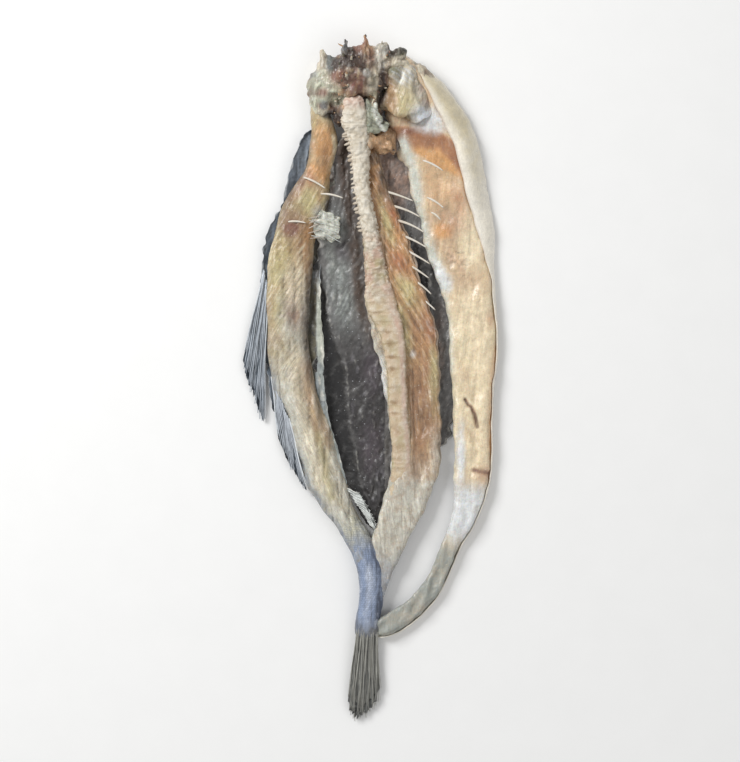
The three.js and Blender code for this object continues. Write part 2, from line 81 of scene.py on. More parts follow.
# Driving sizes, as in the solid.
VERTEBRA_PITCH = 7.6
VERTEBRA_RADIUS = 5.6
BACKBONE_TOP_Y = 190
BACKBONE_END_Y = -128
TAIL_SKIN_Y = -104
RIB_COUNT = 8
RIB_LENGTH = 27
RIB_TIP_Y = 120
RIB_TIP_PITCH = 10.4
RIB_OVERHANG = 15
FIRST_RIB_SLOPE = -18
LAST_RIB_SLOPE = -36
SKIN_THICKNESS = 1.1

# Stations down each strip, as in the solid: [y, x of the middle, half the width].
LEFT_FLESH = [
    [194, -30.5, 8], [180, -33, 6.7], [160, -31, 9], [138, -35.6, 9.2], [119, -42.5, 14.3],
    [95, -51.2, 13.8], [70, -54, 15.2], [45, -55.4, 13.8], [18, -54.4, 14], [-8, -50.4, 14.2],
    [-34, -41.2, 14.6], [-56, -33.5, 14], [-75, -26, 11.5], [-92, -16.5, 8.6], [-110, -7, 7.6],
    [-130, 0, 7.4],
]
LEFT_SKIN = [
    [168, -34, 8], [150, -38, 13], [117, -41, 18.5], [92, -50.5, 20], [70, -53.5, 20], [44, -52, 19.5],
    [18, -51, 20], [-10, -48.5, 18.5], [-34, -42, 16.5], [-58, -33, 14.5], [-78, -24, 11.5],
]
BACK_SKIN = [
    [166, -4, 19], [150, -1, 26], [130, 1, 31], [110, 3.5, 36], [90, 4.5, 41], [68, 8, 47], [40, 10, 48],
    [8, 11, 48], [-20, 12, 46], [-44, 10.5, 37.5], [-64, 10, 28], [-84, 8, 17], [-100, 8, 9],
]
CENTRE_FLESH = [
    [156, -1, 7], [136, 2, 8], [117, 6.5, 10.5], [104, 9.5, 12.5], [92, 11.8, 15], [78, 14, 17],
    [58, 16.6, 19.6], [38, 21.6, 21.6], [15, 26.5, 20.3], [-8, 28.3, 18.5], [-31, 30.6, 17.1],
    [-52, 31, 16.4], [-74, 26, 14.8], [-98, 16.5, 12.4], [-124, 6.5, 10], [-148, 0.5, 8],
]
RIGHT_FLANK = [
    [216, 17, 10], [204, 21.5, 14.5], [188, 31, 22.5], [170, 39.5, 26.4], [152, 48.6, 25.8],
    [128, 53.8, 25], [104, 59.2, 24.2], [80, 62.6, 21.6], [56, 67.4, 17], [27, 69.8, 16.6],
    [-2, 69.2, 14.4], [-30, 69.3, 13], [-54, 69.6, 12.9], [-74, 67.5, 11.4], [-92, 63.4, 8.4],
    [-110, 55, 6.6], [-126, 48.4, 6.2], [-141, 40.6, 6.6], [-153, 29.6, 7], [-162, 17, 7.4], [-168, 3, 7],
]
PEDUNCLE = [
    [-88, -19, 6], [-103, -9.8, 8], [-118, -2.8, 8.2], [-132, 0.8, 8.6], [-147, 0.8, 8.2],
    [-160, -1.4, 8.4], [-174, -2.6, 9.2],
]
BACKBONE = [
    [190, -10.8, 8], [174, -10.4, 10.2], [162, -7.6, 8.8], [146, -6.2, 6.6], [126, -4.8, 6.2],
    [106, -0.9, 6.3], [88, 2, 6.8], [70, 5, 7.8], [50, 8, 9], [30, 15, 7], [6, 17.8, 5.6],
    [-20, 18.9, 5.6], [-48, 21.4, 5.6], [-72, 19.6, 5.8], [-98, 13, 5.4], [-128, 3.4, 4.6],
]
COLLAR = [
    [186, -33, 11], [196, -29, 14], [203, -17, 16], [206, -4, 17], [208, 9, 14], [205, 21, 13],
    [196, 32, 14], [184, 42, 10],
]

# Root and tip lines of the fins: [y, x, z].
PELVIC_ROOT = [[75, -71.5, 4.2], [71, -70.5, 4.2], [65, -69.5, 4.2], [57, -69, 4.2]]
PELVIC_TIP = [[8, -87.2, 3.4], [-8, -83, 3.2], [-22, -78, 3.2], [-35, -72, 3.6]]
ANAL_ROOT = [[3, -66.5, 4.5], [-7, -62.5, 6.6], [-16, -58.5, 9], [-25, -54.5, 10.8]]
ANAL_TIP = [[-46, -61, 3.6], [-60, -53.8, 4.6], [-71, -47, 6], [-81, -40.5, 7.2]]
TAIL_FIN_ROOT = [[-155, -7.6, 7.4], [-158, -4.4, 8.6], [-158, 0.6, 8.6], [-155, 4.4, 7.4]]
TAIL_TIP = [[-225, -16, 4.4], [-233.4, -9.8, 3.4], [-228, -1, 3], [-217, 7, 4]]
FRAYED_FIN_ROOT = [[-72, -16, 9], [-84, -8, 9], [-96, 0, 8]]
FRAYED_FIN_TIP = [[-76, -6, 12], [-92, 3, 11], [-103, 5, 9]]

# Lumps of dried meat and bone on the collar: [x, y, z, three half sizes].
COLLAR_LUMPS = [
    [-11, 203, 24, 12, 15, 11], [-3, 216, 22, 7, 9, 8], [-29, 206, 14, 7, 8, 6], [-31, 190, 14, 9, 12, 7],
    [8, 214, 18, 6, 12, 8], [18, 215, 19, 7, 8, 7], [3, 182, 15, 6.5, 13, 7], [10, 161, 11, 9, 8, 6.5],
    [-14, 180, 13, 9, 14, 8.5], [-28, 209, 14, 6, 9, 5], [-37, 201, 14, 4, 5, 6],
    [-35.5, 186, 12.5, 5, 9, 5.6], [-24, 188, 13, 5, 9, 5], [4, 212, 21, 6, 12, 6], [4, 198, 18, 4, 9, 6],
    [6, 160, 15, 4, 4, 3], [12, 157, 14, 4.5, 3.5, 3], [15.5, 154, 12, 3, 3, 3],
    [0.5, 161, 17, 3, 6, 3.5],
]
# Spikes that stand out of the collar: [root], [tip], radius at the root and at the tip.
COLLAR_SPIKES = [
    [[-4, 212, 24], [-3.2, 230, 27], 6.0, 0.8],
    [[-15, 207, 24], [-16.2, 219, 28], 1.6, 1.0],
    [[-30.5, 206, 15], [-32.6, 221.5, 16.5], 5.6, 1.6],
    [[7, 213, 20], [6.6, 225.5, 20], 5.3, 2.8],
    [[19, 213, 18], [22, 221.5, 19], 7.2, 2.5],
]
GIRDLE_LUMPS = [
    [24, 191, 19, 11, 19, 8], [17, 203, 20, 7, 8, 7], [32, 184, 18, 8, 10, 6], [14, 187, 17, 6, 10, 7],
]

# Loose bones on the flanks: [x, y] of the root, [x, y] of the tip, height.
FLANK_BONES = [
    [35, 147, 48.5, 140, 22.4], [38, 122.5, 49, 115.5, 19.6], [41, 112.5, 47, 107.5, 19],
    [-44.5, 136.5, -30, 129, 14.2], [-33, 125.5, -18, 122.5, 13.2], [-57, 106.5, -43, 106, 12.4],
]


# Curves and easing.

def ease(value):
    return value * value * (3 - 2 * value)


def unit(value):
    """The value, held between 0 and 1."""
    return np.clip(value, 0, 1)


def ramp(t, start, end, a=0, b=1):
    """Goes smoothly from a to b while t goes from start to end."""
    return a + (b - a) * ease(unit((t - start) / (end - start)))


def bell(t, middle, width):
    return np.exp(-(((t - middle) / width) ** 2))


def wave(t, count, phase):
    return np.sin(2 * np.pi * (count * t + phase))


def blunt(value, power):
    return np.sign(value) * np.abs(value) ** power


def through(knots, t):
    """A smooth line through the knots, evenly shared between them, at each t from 0 to 1."""
    knots = np.asarray(knots, float)
    t = np.asarray(t, float)
    ends = [2 * knots[0] - knots[1], 2 * knots[-1] - knots[-2]]
    line = np.vstack([ends[0], knots, ends[1]])
    place = unit(t) * (len(knots) - 1)
    i = np.minimum(place.astype(int), len(knots) - 2)
    w = (place - i)[..., None]
    a, b, c, d = (line[i + k] for k in range(4))
    return 0.5 * (
        2 * b + (c - a) * w + (2 * a - 5 * b + 4 * c - d) * w**2 + (3 * b - a - 3 * c + d) * w**3
    )


def middle(stations, t):
    """x and y of the middle of a strip at each t."""
    return through([[s[1], s[0]] for s in stations], t)


def half_width(stations, t):
    return through([[s[2]] for s in stations], t)


def most(*masks):
    """The strongest of several masks at each point."""
    return np.maximum.reduce(np.broadcast_arrays(*masks))


def even_rows(stations, spacing):
    """Values of t that step the same distance down the line."""
    fine = np.linspace(0, 1, 2000)
    steps = np.linalg.norm(np.diff(middle(stations, fine), axis=0), axis=1)
    run = np.concatenate([[0], np.cumsum(steps)])
    return np.interp(np.linspace(0, run[-1], int(run[-1] / spacing) + 2), run, fine)


# Unevenness. Each function reads points in millimetres and a seed.

def lattice(cell, seed):
    """A fixed random value from 0 to 1 for each whole-numbered cell."""
    cell = cell.astype(np.int64)
    mixed = (
        cell[..., 0] * 374761393 + cell[..., 1] * 668265263 + cell[..., 2] * 1440662683 + seed * 974634777
    )
    mixed = ((mixed ^ (mixed >> 13)) * 1274126177) & 0xFFFFFFFF
    return ((mixed ^ (mixed >> 16)) & 0xFFFF) / 65535.0


def noise(points, size, seed):
    """Smooth noise from -1 to 1. A size of three numbers stretches it."""
    scaled = points / np.asarray(size, float)
    cell = np.floor(scaled)
    part = ease(scaled - cell)
    total = 0
    for corner in np.ndindex(2, 2, 2):
        share = np.prod(np.where(corner, part, 1 - part), axis=-1)
        total = total + share * lattice(cell + corner, seed)
    return 2 * total - 1


def rough(points, size, seed, octaves=3):
    """Noise from -1 to 1 with finer and weaker noise on it."""
    size = np.asarray(size, float)
    strengths = [0.5**k for k in range(octaves)]
    layers = [s * noise(points, size / 2**k, seed + 7 * k) for k, s in enumerate(strengths)]
    return sum(layers) / sum(strengths)


def creases(points, size, seed):
    """1 along thin wandering lines, falling to 0 between them."""
    return unit(1 - 3.2 * np.abs(rough(points, size, seed, octaves=2)))


def swell(x, y, z, seed):
    """The low swell of the solid."""
    a = np.sin(x * 0.31 + seed * 1.7 + 1.3 * np.sin(y * 0.23 + seed))
    b = np.sin(y * 0.37 - seed * 2.3 + 1.1 * np.sin(z * 0.29 + seed * 0.7))
    c = np.sin(z * 0.41 + seed * 0.9 + 1.2 * np.sin(x * 0.27 - seed))
    return (a + b + c) / 3


def turned(points, degrees):
    """x and y in axes turned anticlockwise by so many degrees."""
    angle = np.radians(degrees)
    along = points[..., 0] * np.cos(angle) + points[..., 1] * np.sin(angle)
    beside = -points[..., 0] * np.sin(angle) + points[..., 1] * np.cos(angle)
    return along, beside


def ridges(points, degrees, pitch, seed, wander=0.5):
    """Rows of soft ridges that run at an angle to +X, 0 in the furrows and 1 on the crests."""
    _, beside = turned(points, degrees)
    drift = wander * rough(points, 14, seed) + 0.25 * wander * noise(points, 4, seed + 3)
    return 0.5 + 0.5 * np.sin(2 * np.pi * (beside / pitch + drift))


# Zones on the surface, as masks from 0 to 1.

def tail_fade(points):
    """0 on the flanks, 1 on the bare tail, with an uneven border."""
    return ease(unit((TAIL_SKIN_Y + 14 - points[..., 1] + 9 * rough(points, (4, 14, 6), 39)) / 32))


def patch(points, x, y, half_x, half_y, degrees=0, soft=0.5, seed=0):
    """An oval with an uneven edge."""
    offset = points - np.array([x, y, 0.0])
    along, beside = turned(offset, degrees)
    distance = np.hypot(along / half_x, beside / half_y) + 0.35 * rough(points, 7, 40 + seed)
    return 1 - ease(unit((distance - 1 + soft) / (2 * soft)))


def patches(points, seed, soft, *ovals):
    """The strongest of several ovals: [x, y, half_x, half_y], or with the degrees that it is turned."""
    return np.max(
        [patch(points, *oval, soft=soft, seed=seed + i) for i, oval in enumerate(ovals)], axis=0,
    )


def distance_to(points, line):
    """Distance in plan to a chain of [x, y] points."""
    line = np.asarray(line, float)
    nearest = np.full(points.shape[:-1], 1e9)
    for start, end in zip(line, line[1:]):
        run = end - start
        offset = points[..., :2] - start
        share = unit(offset @ run / (run @ run))[..., None]
        nearest = np.minimum(nearest, np.linalg.norm(offset - share * run, axis=-1))
    return nearest


def streak(points, line, width, ragged=0.3, seed=0):
    """A soft line of about that width."""
    near = distance_to(points, line) / width + ragged * rough(points, 5, 60 + seed)
    return np.exp(-np.clip(near, 0, None) ** 2)


# Strips.

@dataclass
class Strip:
    """A strip of flesh or skin: a blunt section that is bent and leaned, swept down its stations."""

    stations: list
    flatness: float
    cap: float
    lift: Callable
    thick: Callable
    lean: Callable = lambda t: 0 * t
    bend: Callable = lambda t, u: 0 * t * u
    relief: Callable = lambda t, u, x, y: 0 * t * u
    fray: Callable = lambda t, u: 1 + 0 * t * u


def section_angles(strip, spacing_top, spacing_under):
    """Angles round the section from its right edge over the top, evenly spaced along the outline."""
    fine = np.linspace(0, 2 * np.pi, 4001)
    half = np.mean([s[2] for s in strip.stations])
    tall = float(np.mean(strip.thick(np.linspace(0, 1, 50)))) / 2
    outline = np.stack(
        [half * blunt(np.cos(fine), strip.flatness), tall * blunt(np.sin(fine), strip.flatness)]
    )
    run = np.concatenate([[0], np.cumsum(np.linalg.norm(np.diff(outline), axis=0))])
    top_run = run[2000]
    top = np.linspace(0, top_run, int(top_run / spacing_top) + 2)[:-1]
    under = np.linspace(top_run, run[-1], int((run[-1] - top_run) / spacing_under) + 2)[:-1]
    return np.interp(np.concatenate([top, under]), run, fine)


def sweep(strip, rows, angles):
    """Points of the strip's surface, with t, u across and v up at each."""
    t = rows[:, None]
    angles = np.broadcast_to(angles, (len(rows), np.shape(angles)[-1]))
    u = blunt(np.cos(angles), strip.flatness)
    v = blunt(np.sin(angles), strip.flatness)
    plan = middle(strip.stations, rows)
    step = 1e-4
    heading = middle(strip.stations, np.minimum(rows + step, 1)) - middle(
        strip.stations, np.maximum(rows - step, 0))
    heading /= np.linalg.norm(heading, axis=1, keepdims=True)
    near_end = unit(np.minimum(t, 1 - t) / strip.cap)
    closing = np.sqrt(1 - (1 - near_end) ** 2 * 0.92)
    half = half_width(strip.stations, rows) * (0.45 + 0.55 * closing) * strip.fray(t, u)
    x = plan[:, :1] - heading[:, 1:] * half * u
    y = plan[:, 1:] + heading[:, :1] * half * u
    body = strip.thick(t) / 2 * closing * v
    crest = np.where(v > 0, strip.relief(t, u, plan[:, :1], plan[:, 1:]) * v * closing, 0)
    z = strip.lift(t) + strip.lean(t) * u + strip.bend(t, u) + body + crest
    return np.stack([x, y, z], axis=-1), np.broadcast_to(t, u.shape), u, v


def facing(points, wrap=True):
    """Outward normals of a grid of points."""
    if wrap:
        across = np.roll(points, -1, axis=1) - np.roll(points, 1, axis=1)
    else:
        across = np.gradient(points, axis=1)
    normal = np.cross(across, np.gradient(points, axis=0))
    return normal / np.maximum(np.linalg.norm(normal, axis=-1, keepdims=True), 1e-9)


def left_flesh_strip():
    return Strip(
        LEFT_FLESH, 0.62, 0.05,
        lift=lambda t: (
            7.4 + ramp(t, 0, 0.25, 5.6, 0) + 1.1 * wave(t, 2.5, 0.2) + ramp(t, 0.66, 0.85, 0, 1.5)
        ),
        thick=lambda t: 8 + ramp(t, 0.15, 0.4, -0.5, 1.5) + ramp(t, 0.6, 1, 0, -0.5),
        lean=lambda t: -1.5 + ramp(t, 0, 0.2, 2, 0) + 1.5 * bell(t, 0.62, 0.1),
        bend=lambda t, u: -2.2 * u * u,
        relief=lambda t, u, x, y: (
            1.3 * swell(x + 9 * u, y * 0.7, 0, 3) - 1.2 * bell(u, 0.45, 0.2) * ramp(t, 0.3, 0.4)
        ),
        fray=lambda t, u: 1 + 0.035 * wave(t, 9, 0.1) * (u > 0) + 0.03 * wave(t, 13, 0.4) * (u < 0),
    )


def left_skin_strip():
    return Strip(
        LEFT_SKIN, 0.6, 0.04,
        lift=lambda t: 0.85 + ramp(t, 0, 0.3, 3.5, 0) + ramp(t, 0.75, 1, 0, 4) + 0.35 * wave(t, 3, 0.1),
        thick=lambda t: SKIN_THICKNESS + 0 * t,
        lean=lambda t: 0.6 * wave(t, 1.5, 0.3),
        bend=lambda t, u: (
            np.where(u > 0, ramp(t, 0.3, 0.45, 0.2, 6.5), 3.4) * u**4
            + 0.5 * np.sin(34 * t + 3 * u) * u * u
        ),
        fray=lambda t, u: (
            1 + np.where(u > 0, 0.018, 0.03) * (wave(t, 7, 0.2) + wave(t, 31, 0.5) * wave(t, 5, 0.1))
        ),
    )


def back_skin_strip():
    return Strip(
        BACK_SKIN, 0.62, 0.04,
        lift=lambda t: 0.85 + ramp(t, 0, 0.2, 3, 0) + ramp(t, 0.8, 1, 0, 1.5) + 0.35 * wave(t, 3.5, 0.4),
        thick=lambda t: SKIN_THICKNESS + 0.3 + 0 * t,
        lean=lambda t: -0.4 + 0 * t,
        bend=lambda t, u: 1.2 * u**4 + 0.9 * np.sin(26 * t + 7 * u) * u * u,
        fray=lambda t, u: 1 + 0.03 * wave(t, 14, 0.2) + 0.025 * wave(t, 37, 0.1),
    )


def centre_flesh_strip():
    return Strip(
        CENTRE_FLESH, 0.7, 0.04,
        lift=lambda t: 6.8 + ramp(t, 0, 0.25, 3.5, 0) + 0.8 * wave(t, 2, 0.6),
        thick=lambda t: 8.4 + ramp(t, 0.7, 1, 0, 0.8),
        lean=lambda t: 0.5 + 2.6 * bell(t, 0.5, 0.2),
        bend=lambda t, u: 1.6 * bell(t, 0.45, 0.25) * u * u,
        relief=lambda t, u, x, y: (
            swell(x + 12 * u, y * 0.7, 0, 8) - 2.2 * bell(u, 0.28, 0.2) * bell(t, 0.62, 0.18)
        ),
        fray=lambda t, u: 1 + 0.03 * wave(t, 12, 0.3) + 0.02 * wave(t, 31, 0.7),
    )


def right_flank_strip():
    return Strip(
        RIGHT_FLANK, 0.6, 0.03,
        lift=lambda t: (
            4.9 + ramp(t, 0.02, 0.36, 8.4, 0) + 0.7 * wave(t, 2.2, 0.1) + 1.5 * bell(t, 0.72, 0.08)
        ),
        thick=lambda t: 8.6 + ramp(t, 0.12, 0.45, 4.4, 0.6) - ramp(t, 0.66, 0.84, 0, 1.6),
        lean=lambda t: ramp(t, 0, 0.4, 6.5, 0.8) + ramp(t, 0.6, 0.75, 0, -0.8),
        bend=lambda t, u: (
            -ramp(t, 0.1, 0.42, 15, 2.2) * np.maximum(0, (u - 0.4) / 0.6) ** 2
            - ramp(t, 0.15, 0.42, 3, 0.6) * bell(u, -0.2, 0.5)
        ),
        relief=lambda t, u, x, y: (
            1.3 * swell(x + 14 * u, y * 0.7, 0, 5) - 1.6 * bell(u, 0.1, 0.2) * bell(t, 0.55, 0.06)
        ),
        fray=lambda t, u: 1 + np.where(u < 0, 0.035, 0.012) * (wave(t, 13, 0.1) + 0.5 * wave(t, 41, 0.3)),
    )


def collar_strip():
    return Strip(
        COLLAR, 0.8, 0.12,
        lift=lambda t: 11.6 + 2.5 * bell(t, 0.45, 0.2),
        thick=lambda t: 24 + 4 * bell(t, 0.45, 0.2) - ramp(t, 0.75, 1, 0, 8),
        lean=lambda t: -1 + 0 * t,
        relief=lambda t, u, x, y: 2.6 * swell(x * 2.1 + 30 * u, y, 20 * u, 4) - 6 * bell(t, 0.66, 0.035),
    )


def peduncle_strip():
    return Strip(
        PEDUNCLE, 0.9, 0.13,
        lift=lambda t: 6.9 + ramp(t, 0, 0.4, 2.2, 0) - ramp(t, 0.6, 1, 0, 1.6),
        thick=lambda t: ramp(t, 0.4, 1, 14.6, 9.5),
    )


# Meshes.

def grid_faces(rows, columns):
    """Quads between the rings of a tube, and a fan to the middle of each end."""
    r, c = np.meshgrid(np.arange(rows - 1), np.arange(columns), indexing="ij")
    right = (c + 1) % columns
    corners = [r * columns + c, r * columns + right, (r + 1) * columns + right, (r + 1) * columns + c]
    faces = np.stack(corners, -1).reshape(-1, 4).tolist()
    first, second = rows * columns, rows * columns + 1
    base = (rows - 1) * columns
    for k in range(columns):
        after = (k + 1) % columns
        faces.append([after, k, first])
        faces.append([base + k, base + after, second])
    return faces


def closed_grid(points):
    """Vertices and faces of a closed tube of rings."""
    rows, columns = points.shape[:2]
    verts = np.vstack([points.reshape(-1, 3), points[0].mean(0), points[-1].mean(0)])
    return verts, grid_faces(rows, columns)


def spread_to_ends(values):
    """A grid of values as one row, with the two end points added."""
    flat = np.asarray(values, float).reshape(-1)
    return np.concatenate([flat, [np.mean(values[0]), np.mean(values[-1])]])


def hollows(mesh):
    """How far each vertex lies below its surroundings, from -1 on a crest to 1 in a hollow."""
    rounds, depth = 6, 0.5
    count = len(mesh.vertices)
    place = np.empty(count * 3)
    mesh.vertices.foreach_get("co", place)
    place = place.reshape(-1, 3) / MM
    ends = np.empty(len(mesh.edges) * 2, int)
    mesh.edges.foreach_get("vertices", ends)
    a, b = ends.reshape(-1, 2).T
    valence = np.maximum(np.bincount(a, minlength=count) + np.bincount(b, minlength=count), 1)
    smooth = place.copy()
    for _ in range(rounds):
        sums = [
            np.bincount(a, smooth[b, k], count) + np.bincount(b, smooth[a, k], count) for k in range(3)
        ]
        smooth = 0.5 * smooth + 0.5 * np.stack(sums, -1) / valence[:, None]
    normal = np.empty(count * 3)
    mesh.vertex_normals.foreach_get("vector", normal)
    return np.clip(np.sum((smooth - place) * normal.reshape(-1, 3), axis=1) / depth, -1, 1)


def make_piece(name, verts, faces, masks, finish, lowest_z=LOWEST_Z):
    """One piece of the fish, with its masks, its material and its place on the body."""
    lowest, highest = (np.array(corner) / MM for corner in cad_bounds)
    verts = np.clip(np.array(verts, float), lowest + [0, 0, lowest_z], highest)
    mesh = bpy.data.meshes.new(name)
    mesh.from_pydata(verts * MM, [], faces)
    mesh.validate()
    mesh.update()
    mesh.shade_smooth()
    # The hollow mask drives painted shade in hollows and a painted highlight on crests in the finishes.
    store_masks(mesh, {**masks, "hollow": hollows(mesh)})
    mesh.materials.append(finish)
    piece = bpy.data.objects.new(name, mesh)
    bpy.context.scene.collection.objects.link(piece)
    return settle(piece)


def store_masks(mesh, masks):
    for key, values in masks.items():
        values = np.asarray(values, np.float32)
        if values.ndim == 2:
            mesh.attributes.new(key, "FLOAT_VECTOR", "POINT").data.foreach_set("vector", values.ravel())
        else:
            mesh.attributes.new(key, "FLOAT", "POINT").data.foreach_set("value", values)


def settle(piece):
    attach(piece, BODY)
    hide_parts(NODE)
    return piece


def lay_along(points, degrees, pivot=(0, 0)):
    """Distances across and along the grain, for grain that runs at an angle to +X."""
    along, beside = turned(points - np.array([*pivot, 0.0]), degrees)
    return np.stack([beside, along, points[..., 2]], -1)


def lay_round(points):
    """Distances round each section of a strip and along it, for skin."""
    steps = np.linalg.norm(np.diff(points, axis=1, prepend=points[:, :1]), axis=-1)
    return np.stack([np.cumsum(steps, axis=1), points[..., 1], 0 * points[..., 2]], -1)


def ends_added(lay):
    """A grid of lay values as one row, with values for the two end points added."""
    return np.vstack([lay.reshape(-1, 3), np.zeros((2, 3))])


def strip_piece(name, strip, finish, detail, masks, spacing=(FINE, FINE, COARSE), grain=90,
                pivot=(0, 0)):
    """A closed strip with fine relief. detail and masks read points, t, u and v.

    The grain is an angle, or a function of the points that gives it. A grain of None makes it skin.
    """
    rows = even_rows(strip.stations, spacing[0])
    angles = section_angles(strip, spacing[1], spacing[2])[None, :]
    points, t, u, v = sweep(strip, rows, angles)
    points = points + facing(points) * detail(points, t, u, v)[..., None]
    lowest_z = LOWEST_Z if grain is None else FLESH_Z
    points[..., 2] = np.maximum(points[..., 2], lowest_z + LEAST_HEIGHT * unit(v))
    verts, faces = closed_grid(points)
    made = {key: spread_to_ends(value) for key, value in masks(points, t, u, v).items()}
    if grain is None:
        lay = lay_round(points)
    else:
        lay = lay_along(points, grain(points) if callable(grain) else grain, pivot)
    made["lay"] = ends_added(lay)
    return make_piece(name, verts, faces, made, finish, lowest_z)


class Bundle:
    """Many small closed forms gathered into one mesh."""

    def __init__(self):
        self.verts = []
        self.faces = []
        self.masks = {}
        self.count = 0

    def add(self, points, **masks):
        """Adds a tube of rings. Each mask is one number, or one for each ring."""
        verts, faces = closed_grid(points)
        rows, columns = points.shape[:2]
        self.verts.append(verts)
        self.faces += [[i + self.count for i in face] for face in faces]
        self.count += len(verts)
        for key, value in masks.items():
            grid = np.broadcast_to(np.reshape(value, (-1, 1)), (rows, columns))
            self.masks.setdefault(key, []).append(spread_to_ends(grid))

    def piece(self, name, finish, slot, grain=90):
        verts = np.vstack(self.verts)
        masks = {key: np.concatenate(values) for key, values in self.masks.items()}
        masks["lay"] = lay_along(verts, grain)
        return make_piece(name, verts, self.faces, masks, finish)


def tube(path, radius, sides=7, flat=1.0, turn=0.0):
    """Rings round a path. flat below 1 makes the section lower than it is wide."""
    path = np.asarray(path, float)
    radius = np.broadcast_to(radius, len(path))
    heading = np.gradient(path, axis=0)
    heading /= np.maximum(np.linalg.norm(heading, axis=1, keepdims=True), 1e-9)
    up = np.array([0, 0, 1.0]) if abs(heading[:, 2]).max() < 0.9 else np.array([1.0, 0, 0])
    side = np.cross(heading, up)
    side /= np.linalg.norm(side, axis=1, keepdims=True)
    rise = np.cross(side, heading)
    angle = np.linspace(0, 2 * np.pi, sides, endpoint=False) + turn
    ring = (
        side[:, None] * np.cos(angle)[None, :, None] + flat * rise[:, None] * np.sin(angle)[None, :, None]
    )
    return path[:, None] + radius[:, None, None] * ring


def bowed(start, end, steps, bow=(0, 0, 0)):
    """A path from start to end that bows out by that much in its middle."""
    share = np.linspace(0, 1, steps)[:, None]
    return np.asarray(start, float) * (1 - share) + np.asarray(end, float) * share + (
        4 * share * (1 - share) * np.asarray(bow, float))


# Materials.

def tone(code):
    """A colour from its six-digit code, for a shader."""
    shown = np.array([int(code[i:i + 2], 16) / 255 for i in (1, 3, 5)])
    linear = np.where(shown <= 0.04045, shown / 12.92, ((shown + 0.055) / 1.055) ** 2.4)
    return (*linear, 1.0)


class Tree:
    """Short calls that add nodes to a material or to a node group."""

    def __init__(self, tree):
        self.nodes = tree.nodes
        self.links = tree.links

    def feed(self, socket, value):
        if isinstance(value, bpy.types.NodeSocket):
            self.links.new(value, socket)
        else:
            socket.default_value = value

    def node(self, kind, inputs=None, **settings):
        made = self.nodes.new(kind)
        for key, value in settings.items():
            setattr(made, key, value)
        for key, value in (inputs or {}).items():
            self.feed(made.inputs[key], value)
        return made

    def math(self, operation, a, b=0.0, c=0.0):
        return self.node("ShaderNodeMath", {0: a, 1: b, 2: c}, operation=operation).outputs[0]

    def times(self, a, b):
        return self.math("MULTIPLY", a, b)

    def mix(self, a, b, share):
        return self.node("ShaderNodeMix", {0: share, 6: a, 7: b}, data_type="RGBA").outputs[2]

    def mask(self, name):
        return self.node("ShaderNodeAttribute", attribute_name=name).outputs["Fac"]

    def vector(self, name):
        return self.node("ShaderNodeAttribute", attribute_name=name).outputs["Vector"]

    def spread(self, value, low, high, to_low=0.0, to_high=1.0):
        inputs = {0: value, 1: low, 2: high, 3: to_low, 4: to_high}
        return self.node("ShaderNodeMapRange", inputs, clamp=True).outputs[0]

    def stretch(self, vector, by):
        return self.node("ShaderNodeVectorMath", {0: vector, 1: by}, operation="MULTIPLY").outputs[0]

    def scaled(self, colour, by):
        return self.node("ShaderNodeVectorMath", {0: colour, 3: by}, operation="SCALE").outputs[0]

    def place(self):
        """The place on the object, in millimetres."""
        return self.stretch(self.node("ShaderNodeTexCoord").outputs["Object"], (1 / MM, 1 / MM, 1 / MM))

    def counted_lay(self, given, height):
        """The lay, counted in the given widths and lengths."""
        across = self.math("DIVIDE", 1.0, given["Width"])
        along = self.math("DIVIDE", 1.0, given["Length"])
        scale = self.node("ShaderNodeCombineXYZ", {0: across, 1: along, 2: height}).outputs[0]
        return self.stretch(given["Lay"], scale)

    def noise(self, vector, scale, detail=3.0, roughness=0.55, distortion=0.0):
        inputs = {"Vector": vector, "Scale": scale, "Detail": detail, "Roughness": roughness,
                  "Distortion": distortion}
        return self.node("ShaderNodeTexNoise", inputs).outputs["Fac"]

    def group(self, shared, **inputs):
        return self.node("ShaderNodeGroup", inputs, node_tree=shared).outputs


def shared_group(name, inputs, outputs):
    """An empty node group with named float or vector sockets."""
    group = bpy.data.node_groups.new(name, "ShaderNodeTree")
    for key, value in inputs.items():
        kind = "NodeSocketVector" if value is None else "NodeSocketFloat"
        socket = group.interface.new_socket(name=key, in_out="INPUT", socket_type=kind)
        if value is not None:
            socket.default_value = value
    for key in outputs:
        group.interface.new_socket(name=key, in_out="OUTPUT", socket_type="NodeSocketFloat")
    tree = Tree(group)
    return group, tree, tree.node("NodeGroupInput").outputs, tree.node("NodeGroupOutput").inputs


def uneven_drying():
    """Cloudy and fine unevenness of dried flesh and skin, both around 0.5, and a roughness for the bump."""
    inputs = {"Cloud": 14.0, "Grit": 1.1}
    group, tree, given, out = shared_group("uneven_drying", inputs, ["Cloudy", "Fine", "Pits"])
    place = tree.place()
    cloud = tree.noise(place, tree.math("DIVIDE", 1.0, given["Cloud"]), 4.0, 0.6, 0.6)
    grit = tree.noise(place, tree.math("DIVIDE", 1.0, given["Grit"]), 3.0, 0.65)
    pits = tree.noise(place, tree.math("DIVIDE", 0.45, given["Grit"]), 2.0, 0.5)
    tree.feed(out["Cloudy"], tree.spread(cloud, 0.3, 0.7))
    tree.feed(out["Fine"], tree.spread(grit, 0.25, 0.75))
    tree.feed(out["Pits"], pits)
    return group


